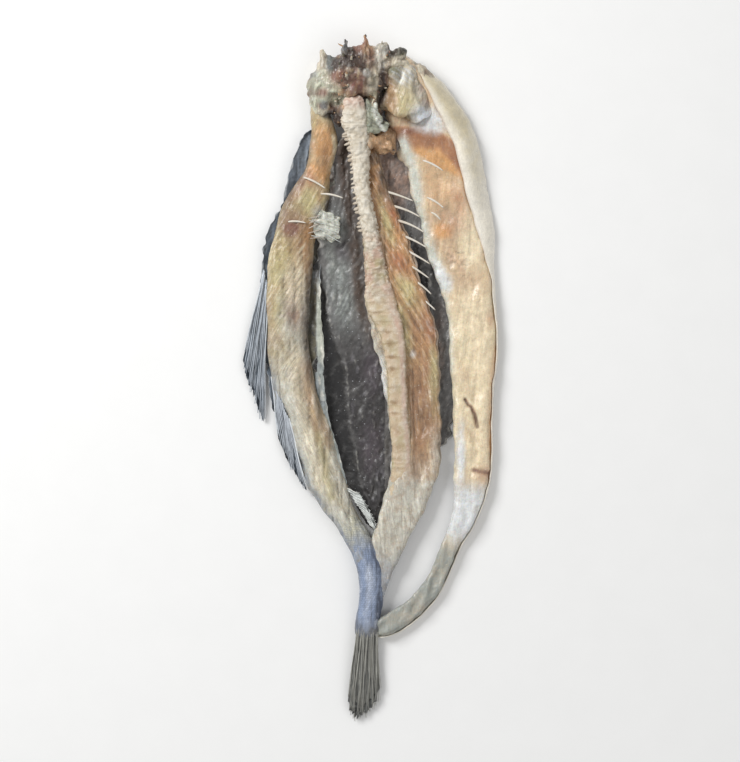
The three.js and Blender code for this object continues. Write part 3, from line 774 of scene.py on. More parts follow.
def dried_fibres():
    """Fibres along the grain: streaks of light and dark, thin wrinkles between them, and their height."""
    inputs = {"Lay": None, "Width": 0.9, "Length": 14.0}
    group, tree, given, out = shared_group("dried_fibres", inputs, ["Streak", "Wrinkle", "Height"])
    streaks = tree.noise(tree.counted_lay(given, 0.25), 1.0, 4.0, 0.6, 0.35)
    off_centre = tree.math("ABSOLUTE", tree.math("SUBTRACT", streaks, 0.5))
    tree.feed(out["Streak"], tree.spread(streaks, 0.3, 0.7))
    tree.feed(out["Wrinkle"], tree.spread(off_centre, 0.0, 0.04, 1.0, 0.0))
    tree.feed(out["Height"], streaks)
    return group


def muscle_bands():
    """Bands of muscle that cross the grain, dark in the seams between them."""
    inputs = {"Lay": None, "Pitch": 3.2, "Slant": 0.4}
    group, tree, given, out = shared_group("muscle_bands", inputs, ["Seam"])
    split = tree.node("ShaderNodeSeparateXYZ", {0: given["Lay"]}).outputs
    drift = tree.noise(tree.stretch(given["Lay"], (0.09, 0.09, 0.09)), 1.0, 2.0)
    drift = tree.times(tree.math("SUBTRACT", drift, 0.5), 2.4)
    bent = tree.math("ADD", split[1], tree.times(tree.math("ABSOLUTE", split[0]), given["Slant"]))
    turns = tree.math("ADD", tree.math("DIVIDE", bent, given["Pitch"]), drift)
    level = tree.math("SINE", tree.times(turns, 2 * np.pi))
    tree.feed(out["Seam"], tree.spread(level, 0.75, 1.0))
    return group


def scale_pockets():
    """The net of pockets that the scales have left in the skin."""
    inputs = {"Lay": None, "Width": 2.6, "Length": 2.2}
    group, tree, given, out = shared_group("scale_pockets", inputs, ["Rim", "Shade", "Height"])
    square = tree.node("ShaderNodeSeparateXYZ", {0: tree.counted_lay(given, 0.0)}).outputs
    shifted = tree.math("MULTIPLY_ADD", square[1], 0.5, square[0])
    lay = tree.node("ShaderNodeCombineXYZ", {0: shifted, 1: square[1]}).outputs[0]
    cells = {"Vector": lay, "Scale": 1.0, "Randomness": 0.4}
    nearest, border = (
        tree.node("ShaderNodeTexVoronoi", cells, feature=feature, voronoi_dimensions="2D").outputs
        for feature in ("F1", "DISTANCE_TO_EDGE")
    )
    shade = tree.node("ShaderNodeSeparateColor", {0: nearest["Color"]}).outputs[0]
    tree.feed(out["Rim"], tree.spread(border["Distance"], 0.02, 0.16, 1.0, 0.0))
    tree.feed(out["Shade"], shade)
    tree.feed(out["Height"], tree.spread(nearest["Distance"], 0.0, 0.7, 1.0, 0.0))
    return group


def oil_and_salt():
    """Small pale specks of salt and small dark specks."""
    group, tree, given, out = shared_group("oil_and_salt", {"Size": 3.0}, ["Pale", "Dark"])
    place = tree.place()
    for key, size, limit in (("Pale", 1.0, 0.11), ("Dark", 1.7, 0.13)):
        scale = tree.math("DIVIDE", size, given["Size"])
        cells = {"Vector": place, "Scale": scale, "Randomness": 1.0}
        spot = tree.node("ShaderNodeTexVoronoi", cells, feature="F1").outputs
        chosen = tree.node("ShaderNodeSeparateColor", {0: spot["Color"]}).outputs[1]
        radius = tree.times(chosen, limit * 1.6)
        inside = tree.math("SUBTRACT", radius, spot["Distance"])
        tree.feed(out[key], tree.spread(inside, 0.0, 0.06))
    return group


DRYING = uneven_drying()
FIBRES = dried_fibres()
BANDS = muscle_bands()
POCKETS = scale_pockets()
SPECKS = oil_and_salt()


def layered(tree, ground, layers, break_up):
    """Lays each tint over the last where its mask is, unevenly. A layer is mask, tint and strength."""
    for name, tint, strength in layers:
        uneven = tree.math("MULTIPLY_ADD", break_up, 1.1, 1.0)
        share = tree.spread(tree.times(tree.mask(name), uneven), 0.08, 0.95, 0.0, strength)
        ground = tree.mix(ground, tone(tint), share)
    return ground


def shaded(tree, colour, shades):
    """Darkens and lightens a colour by each value, from low to high."""
    for value, low, high in shades:
        colour = tree.scaled(colour, tree.spread(value, 0.0, 1.0, low, high))
    return colour


def washed(tree, colour, washes):
    """Mixes each colour in by its share."""
    for tint, share in washes:
        colour = tree.mix(colour, tone(tint), share)
    return colour


def surface(material_name):
    """A new material: its tree, and its shader."""
    material = bpy.data.materials.new(material_name)
    material.use_nodes = True
    tree = Tree(material.node_tree)
    shader = material.node_tree.nodes["Principled BSDF"]
    return material, tree, shader


def bumped(tree, shader, heights, distance=0.4):
    """Adds up heights, each with its strength, into the shader's normal."""
    total = 0.0
    for height, weight in heights:
        total = tree.math("ADD", tree.times(height, weight), total)
    inputs = {"Height": total, "Distance": distance * MM, "Strength": 0.6}
    tree.feed(shader.inputs["Normal"], tree.node("ShaderNodeBump", inputs).outputs[0])


def flesh_finish(name, lean, deep, layers, tints=("#c0a49c", "#bfb27c"), bands=(3.2, 0.4, 0.3), shine=0.5,
                 depth=0.5, wrinkled=0.5, streaky=1.0):
    """Dried flesh: cloudy, fibrous, dark in its seams, glossy where fat has come out, with painted shade in
    its wrinkles and hollows and a painted highlight on its crests.
    """
    material, tree, shader = surface(name)
    pitch, slant, band_strength = bands
    lay = tree.vector("lay")
    drying = tree.group(DRYING, Cloud=11.0, Grit=1.2)
    slow = tree.group(DRYING, Cloud=31.0, Grit=4.2)
    fibres = tree.group(FIBRES, Lay=lay, Width=0.8, Length=12.0)
    broad = tree.group(FIBRES, Lay=lay, Width=2.8, Length=26.0)
    seams = tree.group(BANDS, Lay=lay, Pitch=pitch, Slant=slant)
    specks = tree.group(SPECKS, Size=2.8)
    mixed = tree.math("MULTIPLY_ADD", drying["Cloudy"], 0.5, tree.times(slow["Fine"], 0.5))
    break_up = tree.math("SUBTRACT", mixed, 0.5)
    colour = tree.mix(tone(lean), tone(deep), slow["Cloudy"])
    colour = tree.mix(colour, tone(tints[0]), tree.spread(drying["Cloudy"], 0.5, 1.0, 0.0, 0.45))
    colour = tree.mix(colour, tone(tints[1]), tree.spread(broad["Streak"], 0.5, 1.0, 0.0, 0.5))
    colour = layered(tree, colour, layers, break_up)
    dry = tree.times(slow["Fine"], broad["Streak"])
    colour = tree.mix(colour, tone("#ebe7df"), tree.spread(dry, 0.32, 0.8, 0.0, 0.3 * streaky))
    colour = shaded(tree, colour, [(fibres["Streak"], 1 - 0.13 * streaky, 1 + 0.1 * streaky),
                                   (broad["Streak"], 1 - 0.15 * streaky, 1 + 0.1 * streaky),
                                   (drying["Fine"], 0.88, 1.1), (slow["Fine"], 0.88, 1.1)])
    seam = tree.times(seams["Seam"], tree.times(tree.mask("banded"), band_strength))
    hollow = tree.mask("hollow")
    # Dark seams, painted shade in the wrinkles and hollows, a painted highlight on the crests, then pale
    # and dark specks.
    colour = washed(tree, colour, [
        ("#76604c", seam),
        ("#5e4c3f", tree.times(broad["Wrinkle"], 0.75 * wrinkled)),
        ("#6b5848", tree.times(fibres["Wrinkle"], 0.4 * wrinkled)),
        ("#4f3f35", tree.spread(hollow, 0.05, 0.95, 0.0, depth)),
        ("#efe9dc", tree.spread(hollow, -0.25, -1.0, 0.0, depth * 0.5)),
        ("#efe9da", tree.times(specks["Pale"], 0.4)),
        ("#4a3a30", tree.times(specks["Dark"], 0.25)),
    ])
    tree.feed(shader.inputs["Base Color"], colour)
    gloss = tree.math("SUBTRACT", tree.spread(drying["Cloudy"], 0.0, 1.0, shine, shine + 0.16),
                      tree.times(tree.mask("fat"), 0.14))
    tree.feed(shader.inputs["Roughness"], gloss)
    shader.inputs["Subsurface Weight"].default_value = 0.12
    shader.inputs["Subsurface Radius"].default_value = (0.004, 0.002, 0.001)
    tree.feed(shader.inputs["Coat Weight"], tree.spread(drying["Cloudy"], 0.2, 0.9, 0.5, 0.1))
    shader.inputs["Coat Roughness"].default_value = 0.2
    bumped(tree, shader, [(fibres["Height"], 0.8 * streaky), (broad["Height"], 1.6 * streaky),
                          (broad["Wrinkle"], -wrinkled), (fibres["Wrinkle"], -0.3 * wrinkled),
                          (drying["Fine"], 0.5), (drying["Pits"], 0.35), (slow["Fine"], 0.8)])
    return material


def skin_finish(name, light, dark, layers, pockets=(2.6, 2.2), shine=0.36, streaks=(0.7, 9.0, 0.9, 1.08),
                mottle=(0.88, 1.1)):
    """Skin with the net of its scale pockets, silver or dark, with painted shade in its hollows and a
    painted highlight on its crests.
    """
    material, tree, shader = surface(name)
    lay = tree.vector("lay")
    drying = tree.group(DRYING, Cloud=9.0, Grit=0.9)
    slow = tree.group(DRYING, Cloud=24.0, Grit=3.4)
    net = tree.group(POCKETS, Lay=lay, Width=pockets[0], Length=pockets[1])
    fibres = tree.group(FIBRES, Lay=lay, Width=streaks[0], Length=streaks[1])
    specks = tree.group(SPECKS, Size=2.4)
    break_up = tree.math("SUBTRACT", tree.math("MULTIPLY_ADD", drying["Cloudy"], 0.6,
                                               tree.times(slow["Fine"], 0.4)), 0.5)
    colour = tree.mix(tone(light), tone(dark), tree.times(drying["Cloudy"], slow["Fine"]))
    colour = layered(tree, colour, layers, break_up)
    rim = tree.times(net["Rim"], tree.spread(tree.mask("netted"), 0.0, 1.0, 0.0, 0.5))
    colour = tree.mix(colour, tone("#3d434d"), rim)
    uneven = tree.times(tree.math("SUBTRACT", net["Shade"], 0.5), tree.mask("netted"))
    colour = tree.scaled(colour, tree.math("MULTIPLY_ADD", uneven, 0.26, 1.0))
    colour = shaded(tree, colour, [(fibres["Streak"], streaks[2], streaks[3]), (slow["Fine"], *mottle),
                                   (drying["Fine"], 0.92, 1.08)])
    hollow = tree.mask("hollow")
    # Painted shade in the hollows, a painted highlight on the crests, and pale specks.
    colour = washed(tree, colour, [
        ("#45403b", tree.spread(hollow, 0.05, 0.9, 0.0, 0.5)),
        ("#eae6da", tree.spread(hollow, -0.3, -1.0, 0.0, 0.25)),
        ("#e9edf2", tree.times(specks["Pale"], 0.4)),
    ])
    tree.feed(shader.inputs["Base Color"], colour)
    gloss = tree.math("SUBTRACT", tree.spread(drying["Cloudy"], 0.0, 1.0, shine, shine + 0.2),
                      tree.times(tree.mask("cream"), 0.08))
    tree.feed(shader.inputs["Roughness"], gloss)
    shader.inputs["Coat Weight"].default_value = 0.25
    shader.inputs["Coat Roughness"].default_value = 0.22
    bumped(tree, shader, [(net["Height"], 0.4), (fibres["Height"], 0.5), (drying["Pits"], 0.4),
                          (slow["Fine"], 0.6)], distance=0.35)
    return material


def bone_finish(name, light, deep, stain="#a77848", layers=()):
    """Dried bone, stained where tissue is left on it, with painted shade in its hollows and a painted
    highlight on its crests.
    """
    material, tree, shader = surface(name)
    drying = tree.group(DRYING, Cloud=6.0, Grit=0.8)
    fibres = tree.group(FIBRES, Lay=tree.vector("lay"), Width=0.5, Length=4.0)
    colour = tree.mix(tone(light), tone(deep), drying["Cloudy"])
    colour = layered(tree, colour, layers, tree.math("SUBTRACT", drying["Cloudy"], 0.5))
    stained = tree.spread(tree.math("ADD", tree.mask("stain"), tree.times(drying["Fine"], 0.4)),
                          0.35, 1.0, 0.0, 0.8)
    colour = tree.mix(colour, tone(stain), stained)
    colour = shaded(tree, colour, [(fibres["Streak"], 0.92, 1.06)])
    hollow = tree.mask("hollow")
    # Painted shade in the hollows and a painted highlight on the crests.
    colour = washed(tree, colour, [
        ("#7a5c42", tree.spread(hollow, 0.15, 1.0, 0.0, 0.42)),
        ("#f4efe2", tree.spread(hollow, -0.1, -0.8, 0.0, 0.4)),
    ])
    tree.feed(shader.inputs["Base Color"], colour)
    tree.feed(shader.inputs["Roughness"], tree.spread(drying["Fine"], 0.0, 1.0, 0.45, 0.7))
    shader.inputs["Subsurface Weight"].default_value = 0.05
    shader.inputs["Subsurface Radius"].default_value = (0.002, 0.0015, 0.001)
    bumped(
        tree, shader, [(drying["Fine"], 0.6), (drying["Pits"], 0.3), (fibres["Height"], 0.4)],
        distance=0.25,
    )
    return material


def fin_finish(name, ray, web, edge, strength):
    """Pale fin rays, the darker web between them, and paler rays along the fin's edges."""
    material, tree, shader = surface(name)
    drying = tree.group(DRYING, Cloud=8.0, Grit=0.8)
    fibres = tree.group(FIBRES, Lay=tree.vector("lay"), Width=0.6, Length=16.0)
    break_up = tree.math("SUBTRACT", drying["Fine"], 0.5)
    colour = tree.mix(tone(web), tone(ray), tree.spread(tree.mask("ray"), 0.2, 0.8))
    colour = layered(tree, colour, [("edge", edge, strength)], break_up)
    colour = shaded(tree, colour, [(fibres["Streak"], 0.78, 1.2), (drying["Cloudy"], 0.85, 1.15)])
    tree.feed(shader.inputs["Base Color"], colour)
    tree.feed(shader.inputs["Roughness"], tree.spread(drying["Fine"], 0.0, 1.0, 0.38, 0.6))
    shader.inputs["Coat Weight"].default_value = 0.12
    bumped(tree, shader, [(fibres["Height"], 0.7), (drying["Fine"], 0.3)], distance=0.25)
    return material


# Colours laid over dried flesh: the mask, the colour and its strength.
FLESH_LAYERS = [
    ("fat", "#d9a268", 0.9),
    ("ochre", "#b3865a", 0.85),
    ("olive", "#cbbf8c", 0.85),
    ("pale", "#d2d1c4", 0.92),
    ("cream", "#f2e2c0", 0.88),
    ("rust", "#b47150", 0.88),
    # Brown tissue, and a painted shadow line down the left flank.
    ("umber_and_painted_shadow", "#93735a", 0.85),
    ("blood", "#85594a", 0.9),
    # Dark tissue, and painted shade in creases, gaps and hollows.
    ("dusk", "#4b4540", 0.95),
    ("milk", "#d5dad0", 0.9),
    # White tissue, and painted glints.
    ("frost_and_painted_glint", "#e4e7e8", 0.94),
    ("skin", "#8d959e", 0.95),
    ("silver", "#8c98ad", 0.95),
]
# What takes the place of silver on the right flank.
PALE_END = ("silver", "#979c96", 0.92)


def left_flesh_finish():
    return flesh_finish("left flank flesh", "#c9b592", "#ae9b72", FLESH_LAYERS, bands=(3.1, 0.35, 0.15),
                        wrinkled=0.35)


def centre_flesh_finish():
    return flesh_finish("flesh over the ribs", "#c79d72", "#ac825c", FLESH_LAYERS, ("#cf9a78", "#c3ac74"),
                        bands=(4.6, 0.2, 0.1), wrinkled=0.4)


def right_flesh_finish():
    return flesh_finish("right flank flesh", "#e4caa6", "#d2b594", FLESH_LAYERS[:-1] + [PALE_END],
                        ("#d9b398", "#dfcba0"), bands=(5.5, 0.3, 0.05), shine=0.34, wrinkled=0.16,
                        streaky=0.5)


def collar_finish():
    layers = [
        ("pale", "#d6cdb6", 0.95), ("olive", "#4c5342", 0.92), ("ochre", "#cda276", 0.9),
        ("green", "#cdcfb8", 0.94), ("red", "#81493d", 0.8), ("grey", "#7c8487", 0.9),
        ("dusk", "#372c29", 0.95), ("frost_and_painted_glint", "#e2dfd6", 0.85),
    ]
    return flesh_finish(
        "torn collar meat", "#97796a", "#715548", layers, bands=(2.6, 0.3, 0.1), depth=0.4,
    )


def girdle_finish():
    layers = [
        ("pale", "#d3cfc0", 0.9), ("cream", "#d3c597", 0.9), ("ochre", "#b58f66", 0.85),
        ("olive", "#7c7f69", 0.85), ("red", "#a06a58", 0.8), ("dusk", "#40342f", 0.93),
        ("frost_and_painted_glint", "#e3e8ee", 0.95),
    ]
    return flesh_finish(
        "dried shoulder", "#c4b69b", "#a89678", layers, bands=(2.6, 0.3, 0.05), shine=0.36, wrinkled=0.4,
        streaky=0.9,
    )


def membrane_finish():
    layers = [("olive", "#989c88", 0.85), ("frost_and_painted_glint", "#e0e2d8", 0.9), ("dusk", "#5b5850", 0.85)]
    return flesh_finish("dried membrane", "#c6cbbb", "#adb3a3", layers, bands=(2.6, 0.3, 0.1), depth=0.3)


def lining_finish():
    # The dim layer paints shade on the lower flap, the black layer the shadow in the gaps.
    layers = [("blue", "#7f8583", 0.75), ("fleshy", "#9aa097", 0.8), ("dim", "#252223", 0.92),
              ("plum", "#4a4147", 0.75), ("pale", "#a8a4aa", 0.7), ("brown", "#4a3b31", 0.88),
              ("tissue", "#957b6c", 0.92), ("painted_gap_shadow", "#100e0f", 0.97), ("skin", "#565d66", 0.95)]
    return skin_finish("dark lining of the back", "#747270", "#444140", layers, (3.4, 3.0), 0.42,
                       (1.9, 8.0, 0.78, 1.25), (0.6, 1.4))


def flank_skin_finish():
    layers = [("blue", "#59636f", 0.85), ("dusk", "#3a3835", 0.93), ("olive", "#6a6450", 0.85),
              ("grey", "#80888a", 0.9), ("green", "#b9bcae", 0.9), ("cream", "#f7f1e4", 0.98),
              ("yellow", "#d3c49c", 0.75), ("brown", "#a57d62", 0.6)]
    return skin_finish("flank skin", "#a7b0ba", "#77808c", layers, (3.0, 2.6))


def peduncle_finish():
    # The pale layer also paints a highlight down the peduncle's top.
    layers = [("dusk", "#474e60", 0.85), ("pale", "#c6cfe0", 0.85), ("green", "#c3bfa9", 0.95),
              ("grey", "#6f6d68", 0.9)]
    return skin_finish(
        "silver tail skin", "#93a2bd", "#67748d", layers, (1.7, 1.5), 0.3, (0.9, 8.0, 0.84, 1.14),
    )


def backbone_finish():
    layers = [("tan", "#c8b18d", 0.75), ("olive", "#aea77f", 0.65), ("pink", "#cbaa9a", 0.75)]
    return bone_finish("backbone", "#ddd6c8", "#c5b9a4", "#8f7050", layers)


# The flanks.

# A groove down the lower half of the left flank: [x, y].
LEFT_GROOVE = [[-39, 30], [-37.5, 6], [-34, -12], [-30.5, -32]]


def left_flank_flesh(finish):
    under_fin = [[-63, -12], [-57, -36], [-47, -62], [-38, -84]]
    midline = [[-46, 92], [-47, 66], [-49, 40]]
    orange_line = [[-44, 48], [-43, 20], [-41.5, 0], [-40, -14], [-37, -28], [-34, -42]]
    # The shadow and dim lines carry painted shade down the flank's right side.
    shadow_line = [[-39, 12], [-36, -6], [-33.5, -20], [-30.5, -32], [-27.5, -44]]
    dim_line = [[-26, -46], [-23, -58], [-20.5, -70], [-17, -82]]
    olive_line = [[-34, -38], [-31.5, -50], [-29.5, -64], [-26, -78]]
    # The cream line is cream flesh with a painted highlight along the ridge.
    cream_highlight_line = [[-50, 22], [-49, 4], [-46.5, -16], [-42, -36], [-37, -54], [-34, -72]]
    pale_rim = [[-24.5, 164], [-23, 156], [-23.4, 149], [-25.5, 142]]

    def detail(points, t, u, v):
        top = unit(v * 2)
        lined = ramp(t, 0.16, 0.26) * (1 - ramp(t, 0.45, 0.7, 0, 0.8)) * (1 - 0.7 * bell(u, 0.9, 0.25))
        lined = lined * unit(0.6 + rough(points, 16, 15))
        bands = (ridges(points, 56, 3.0, 11, 0.8) - 0.6) * 0.45 * lined
        wrinkles = -0.8 * creases(points, (4, 30, 6), 12) * ramp(t, 0.2, 0.4, 0.3, 1)
        uneven = 1.3 * rough(points, (8, 15, 8), 13) + 0.4 * rough(points, 3.6, 14)
        groove = -0.9 * streak(points, LEFT_GROOVE, 1.8) - 1.3 * streak(points, under_fin, 4.5)
        ridge = 1.2 * bell(u, -0.1, 0.3) * ramp(t, 0.45, 0.7)
        return top * (bands + wrinkles + uneven + groove + ridge)

    def masks(points, t, u, v):
        top = unit(v * 3 + 0.6)
        down = ramp(t, 0.44, 0.64)
        # Painted shade in the valley at the flank's right edge.
        valley = bell(u, 1.05, 0.42) * ramp(t, 0.3, 0.42)
        outer = bell(u, -1.0, 0.25) * ramp(t, 0.02, 0.1) * (1 - ramp(t, 0.25, 0.35, 0, 0.6))
        fringe = bell(u, -1.0, 0.35) * ramp(t, 0.5, 0.58)
        crinkles = unit(rough(points, (2.5, 7, 4), 27) * 3)
        orange = 0.75 * streak(points, orange_line, 4.2, 0.4)
        olive = 0.7 * streak(points, olive_line, 4.4, 0.4, 17)
        shadow = 0.8 * streak(points, shadow_line, 3.4, 0.4, 14)
        dim = 0.5 * streak(points, dim_line, 3.4, 0.4, 14)
        stripes = most(orange, olive, shadow)
        dashes = streak(points, midline, 2.2, 0.7, 16) * unit(ridges(points, 56, 3.0, 11, 0.8) * 2 - 0.6)
        return {
            "fat": top * patches(points, 1, 0.9, [-31, 157, 7, 14, 4], [-34, 142, 7, 9, 20]),
            "ochre": top * np.maximum(
                patches(
                    points, 3, 1.2, [-43, 99, 8, 9, -20], [-36, 121, 4, 7], [-31, 152, 3, 8],
                    [-42, 80, 4, 16, 5], [-47, 92, 6, 5], [-56, 84, 7, 10, -10], [-58, 60, 6, 12],
                ),
                orange,
            ),
            "olive": top * np.maximum(
                patches(
                    points, 17, 0.9, [-41, 122, 6, 11, 10], [-60, 78, 8, 19, -8], [-59, 52, 6, 16],
                    [-29, 117, 5, 6],
                ),
                1.1 * olive,
            ),
            "pale": top * np.maximum(
                down * (0.8 + 0.2 * bell(u, -0.3, 0.4)) * (1 - 0.95 * stripes),
                patches(points, 5, 1.1, [-50, 40, 9, 26, 4], [-34, 113, 4, 5, 10]),
            ),
            "cream": top * most(
                0.55 * streak(points, cream_highlight_line, 4.2, 0.5, 18),
                0.8 * patches(points, 7, 1.1, [-50, 62, 5, 16], [-30, 186, 7, 8]), dashes,
                streak(points, pale_rim, 1.6, 0.3),
            ),
            "rust": top * 0.6 * patches(points, 18, 0.9, [-40, 136, 4, 7, 10], [-47, 127, 3, 6, -35]),
            # Painted shadow along the shadow line, and brown patches.
            "umber_and_painted_shadow": top * most(
                0.6 * shadow,
                0.3 * patches(points, 20, 1.2, [-53, 86, 9, 13], [-51, 58, 9, 16], [-46, -6, 8, 20]),
                0.85 * patches(
                    points, 16, 0.9, [-51, 126, 4, 11, -30], [-53, 108, 8, 9, -10], [-45, 148, 2, 7, -15],
                ),
            ),
            "blood": top * np.maximum(
                1.1 * patch(points, -52.5, 101.5, 5.5, 5.5, soft=0.9, seed=9),
                0.6 * patches(points, 8, 1.1, [-47, 133, 2.5, 5, -30], [-51, 44, 6, 10, 12]),
            ),
            # Painted shade in the valley and along the dim line, darker along the outer edge, dark crinkles
            # in the fringe and dark spots.
            "dusk": top * most(
                0.95 * valley * (1 - 0.6 * down), 0.5 * outer, 0.45 * dim, 0.55 * fringe * crinkles,
                patches(points, 12, 0.5, [-28, 179, 5, 4], [-28.5, 118, 3, 5]),
            ),
            "frost_and_painted_glint": top * np.maximum(
                patches(points, 13, 0.9, [-31, 104, 4, 8, 10], [-31, 197, 8, 5]),
                0.5 * fringe * unit(rough(points, (1.6, 9, 4), 28) * 3 - 0.6),
            ),
            "skin": np.maximum(unit(-v * 2), 0.75 * fringe * top),
            "silver": tail_fade(points),
            "banded": top * ramp(t, 0.2, 0.3, 0.2, 1) * (1 - 0.8 * down),
        }

    grain = lambda points: ramp(points[..., 1], 20, -30, 62, 113)
    return strip_piece(
        "left_flank_flesh", left_flesh_strip(), finish, detail, masks, grain=grain,
        pivot=(-50, -5),
    )


def left_flank_skin(finish):
    rim_start = [[-60, 0.55], [-34, 0.6], [0, 0.66], [22, 0.72], [40, 0.78], [66, 0.84]]

    def detail(points, t, u, v):
        flat = points * [1, 1, 0]
        folds = -0.7 * creases(flat, (4, 22, 6), 25) * (v > 0)
        crinkled = 0.8 * rough(flat, (2.6, 6, 5), 29) * (u > 0.6)
        buckled = crinkled + 0.8 * rough(flat, (4, 10, 6), 21) + 0.3 * rough(flat, 2.4, 22)
        return folds + buckled * np.sign(v)

    def masks(points, t, u, v):
        y = points[..., 1]
        border = np.interp(y, *np.array(rim_start).T) + 0.03 * rough(points, 8, 20)
        rim = unit((u - border) / 0.1) * unit((72 - y) / 12)
        line = rim * unit((y - 10) / 20)
        inner = (v > 0) * (u > 0)
        streaks = unit(rough(points, (1.8, 9, 5), 24) * 2.0)
        return {
            "cream": 0.5 * rim * streaks + 0.7 * line * bell(y, 62, 6),
            "blue": (u < 0) * unit(-u * 1.6 - 0.2),
            "green": 0.95 * line + 0.3 * rim,
            "dusk": (v > 0) * (u > -0.35) * unit(1 - 0.95 * rim) * 0.95,
            "olive": 0.8 * inner * unit(1 - rim) * unit(0.7 + 1.5 * rough(points, (5, 12, 5), 26)),
            "grey": rim * unit(1.1 + rough(points, (4, 12, 5), 24)),
            "netted": np.where(v > 0, 0.1, 1.0),
        }

    return strip_piece("left_flank_skin", left_skin_strip(), finish, detail, masks,
                       (FINE, FINE, FINE), grain=None)


# How far over the right flank its skin folds: [t, u].
RIM_BORDER = [[0, 0.9], [0.05, 0.8], [0.09, 0.42], [0.15, 0.36], [0.2, 0.35], [0.25, 0.38], [0.3, 0.46],
              [0.335, 0.62], [0.38, 0.88], [0.45, 0.94], [1, 0.95]]


def rim_border(t):
    """u of the folded skin's border on the right flank, 0 in its middle and 1 at its edge."""
    knots = np.array(RIM_BORDER)
    return np.interp(t, knots[:, 0], knots[:, 1]) + 0.012 * wave(t, 21, 0.2)


def right_flank_flesh(finish):
    pale_edge = [[49, 66], [51.5, 48], [53, 30], [54, 8]]
    belly_edge = [
        [22, 160], [26, 150], [30, 138], [31.5, 125], [33, 112], [37, 98], [41, 86], [46, 76], [50, 62],
    ]
    band_edge = np.array([[10, 161], [24, 155], [36, 150], [45, 143], [57, 137], [75, 125]])
    band_top = np.array([[10, 169], [24, 168.5], [36, 168], [44, 166], [50, 163], [57, 158], [75, 148]])
    red_start = np.array([[18, 1], [30, 1.5], [38, 5], [46, 11], [52, 8], [58, 3], [66, 2]])
    slit = [[64, -12.5], [66, -16], [68.2, -17.5], [70.4, -23], [72, -31]]
    torn_edge = [[70, -60], [80, -62], [82, -68]]

    def detail(points, t, u, v):
        top = unit(v * 2)
        under = unit(-v * 1.4)
        crease = -0.9 * bell(u, rim_border(t), 0.035) * (t > 0.06)
        beyond = -0.9 * unit((u - rim_border(t)) * 12)
        uneven = 1.1 * rough(points, (14, 24, 14), 31) + 0.7 * rough(points, (5, 9, 5), 32)
        wrinkles = -0.5 * creases(points, (7, 34, 9), 33) + 0.18 * rough(points, 1.8, 30)
        wrinkles += -0.6 * creases(points, (5, 4, 5), 44) * patch(points, 57, 80, 10, 10, soft=0.8)
        cuts = -2.2 * streak(points, slit, 1.0) - 0.9 * streak(points, torn_edge, 1.4)
        return top * (crease + beyond + uneven + wrinkles + cuts) - 0.9 * under

    def masks(points, t, u, v):
        top = unit(v * 3 + 0.6)
        low = ramp(t, 0.6, 0.66)
        bright_end = ramp(t, 0.62, 0.67) * (1 - ramp(t, 0.72, 0.76))
        right_edge = bell(u, 1.0, 0.24) * ramp(t, 0.42, 0.47) * (1 - ramp(t, 0.58, 0.62))
        left_edge = bell(u, -1.0, 0.22) * ramp(t, 0.4, 0.44)
        creamy = np.maximum(
            ramp(t, 0.36, 0.42, 0, 0.85), patch(points, 68, 94, 8, 20, 12, soft=0.7, seed=38),
        )
        x, y = points[..., 0], points[..., 1]
        band = y - np.interp(x, *band_edge.T) + 1.6 * rough(points, 9, 36)
        orange = unit(band / 3 + 0.5) * (1 - unit((y - np.interp(x, *band_top.T)) / 3))
        red = unit((band - np.interp(x, *red_start.T)) / 5) * orange
        milk = streak(points, belly_edge, 4.6, 0.15)
        return {
            "fat": top * most(
                orange, patch(points, 48, 101, 6, 5, soft=0.8, seed=36), 0.9 * right_edge,
                0.45 * patches(points, 31, 1.1, [47, 132, 13, 14], [64, -34, 7, 10], [66, 4, 6, 12]),
            ),
            "rust": top * np.maximum(
                0.85 * red,
                0.5 * patches(
                    points, 37, 1.1, [60, 119, 5, 13, 10], [57, 106, 8, 8], [81, 42, 3, 6],
                    [77, -62, 6, 6],
                ),
            ),
            "olive": top * patches(
                points, 34, 1.1, [82, 30, 3, 7], [62, 24, 5, 12], [61, -10, 4, 5],
            ) * 0.6,
            "umber_and_painted_shadow": top * 0.6 * red,
            "pale": top * np.maximum(left_edge, low * 0.6),
            "cream": top * creamy * (1 - low) * (1 - 0.9 * right_edge),
            "blood": top * most(
                patches(points, 39, 0.7, [26, 167, 5, 2.6]), 0.8 * streak(points, torn_edge, 1.6),
                0.9 * streak(points, slit, 1.1),
            ),
            # Painted shade in the creases of a wrinkled patch.
            "dusk": top * 0.4 * creases(points, (5, 4, 5), 44) * patches(
                points, 45, 0.8, [57, 80, 10, 10], [52, 112, 8, 6],
            ),
            "milk": top * np.maximum(milk * (t < 0.45), 0.7 * streak(points, pale_edge, 3.0, 0.3, 43)),
            "frost_and_painted_glint": top * np.maximum(
                patches(points, 42, 0.8, [61, -50, 3, 18], [48, 70, 5, 9, 25], [40, 175, 12, 8, -20]),
                bright_end,
            ),
            "silver": 0.8 * ramp(t, 0.72, 0.78) + 0 * u,
            "skin": unit(-v * 2),
            "banded": top * ramp(t, 0.3, 0.5, 0.1, 0.8) * (1 - low),
        }

    return strip_piece(
        "right_flank_flesh", right_flank_strip(), finish, detail, masks, grain=82,
    )


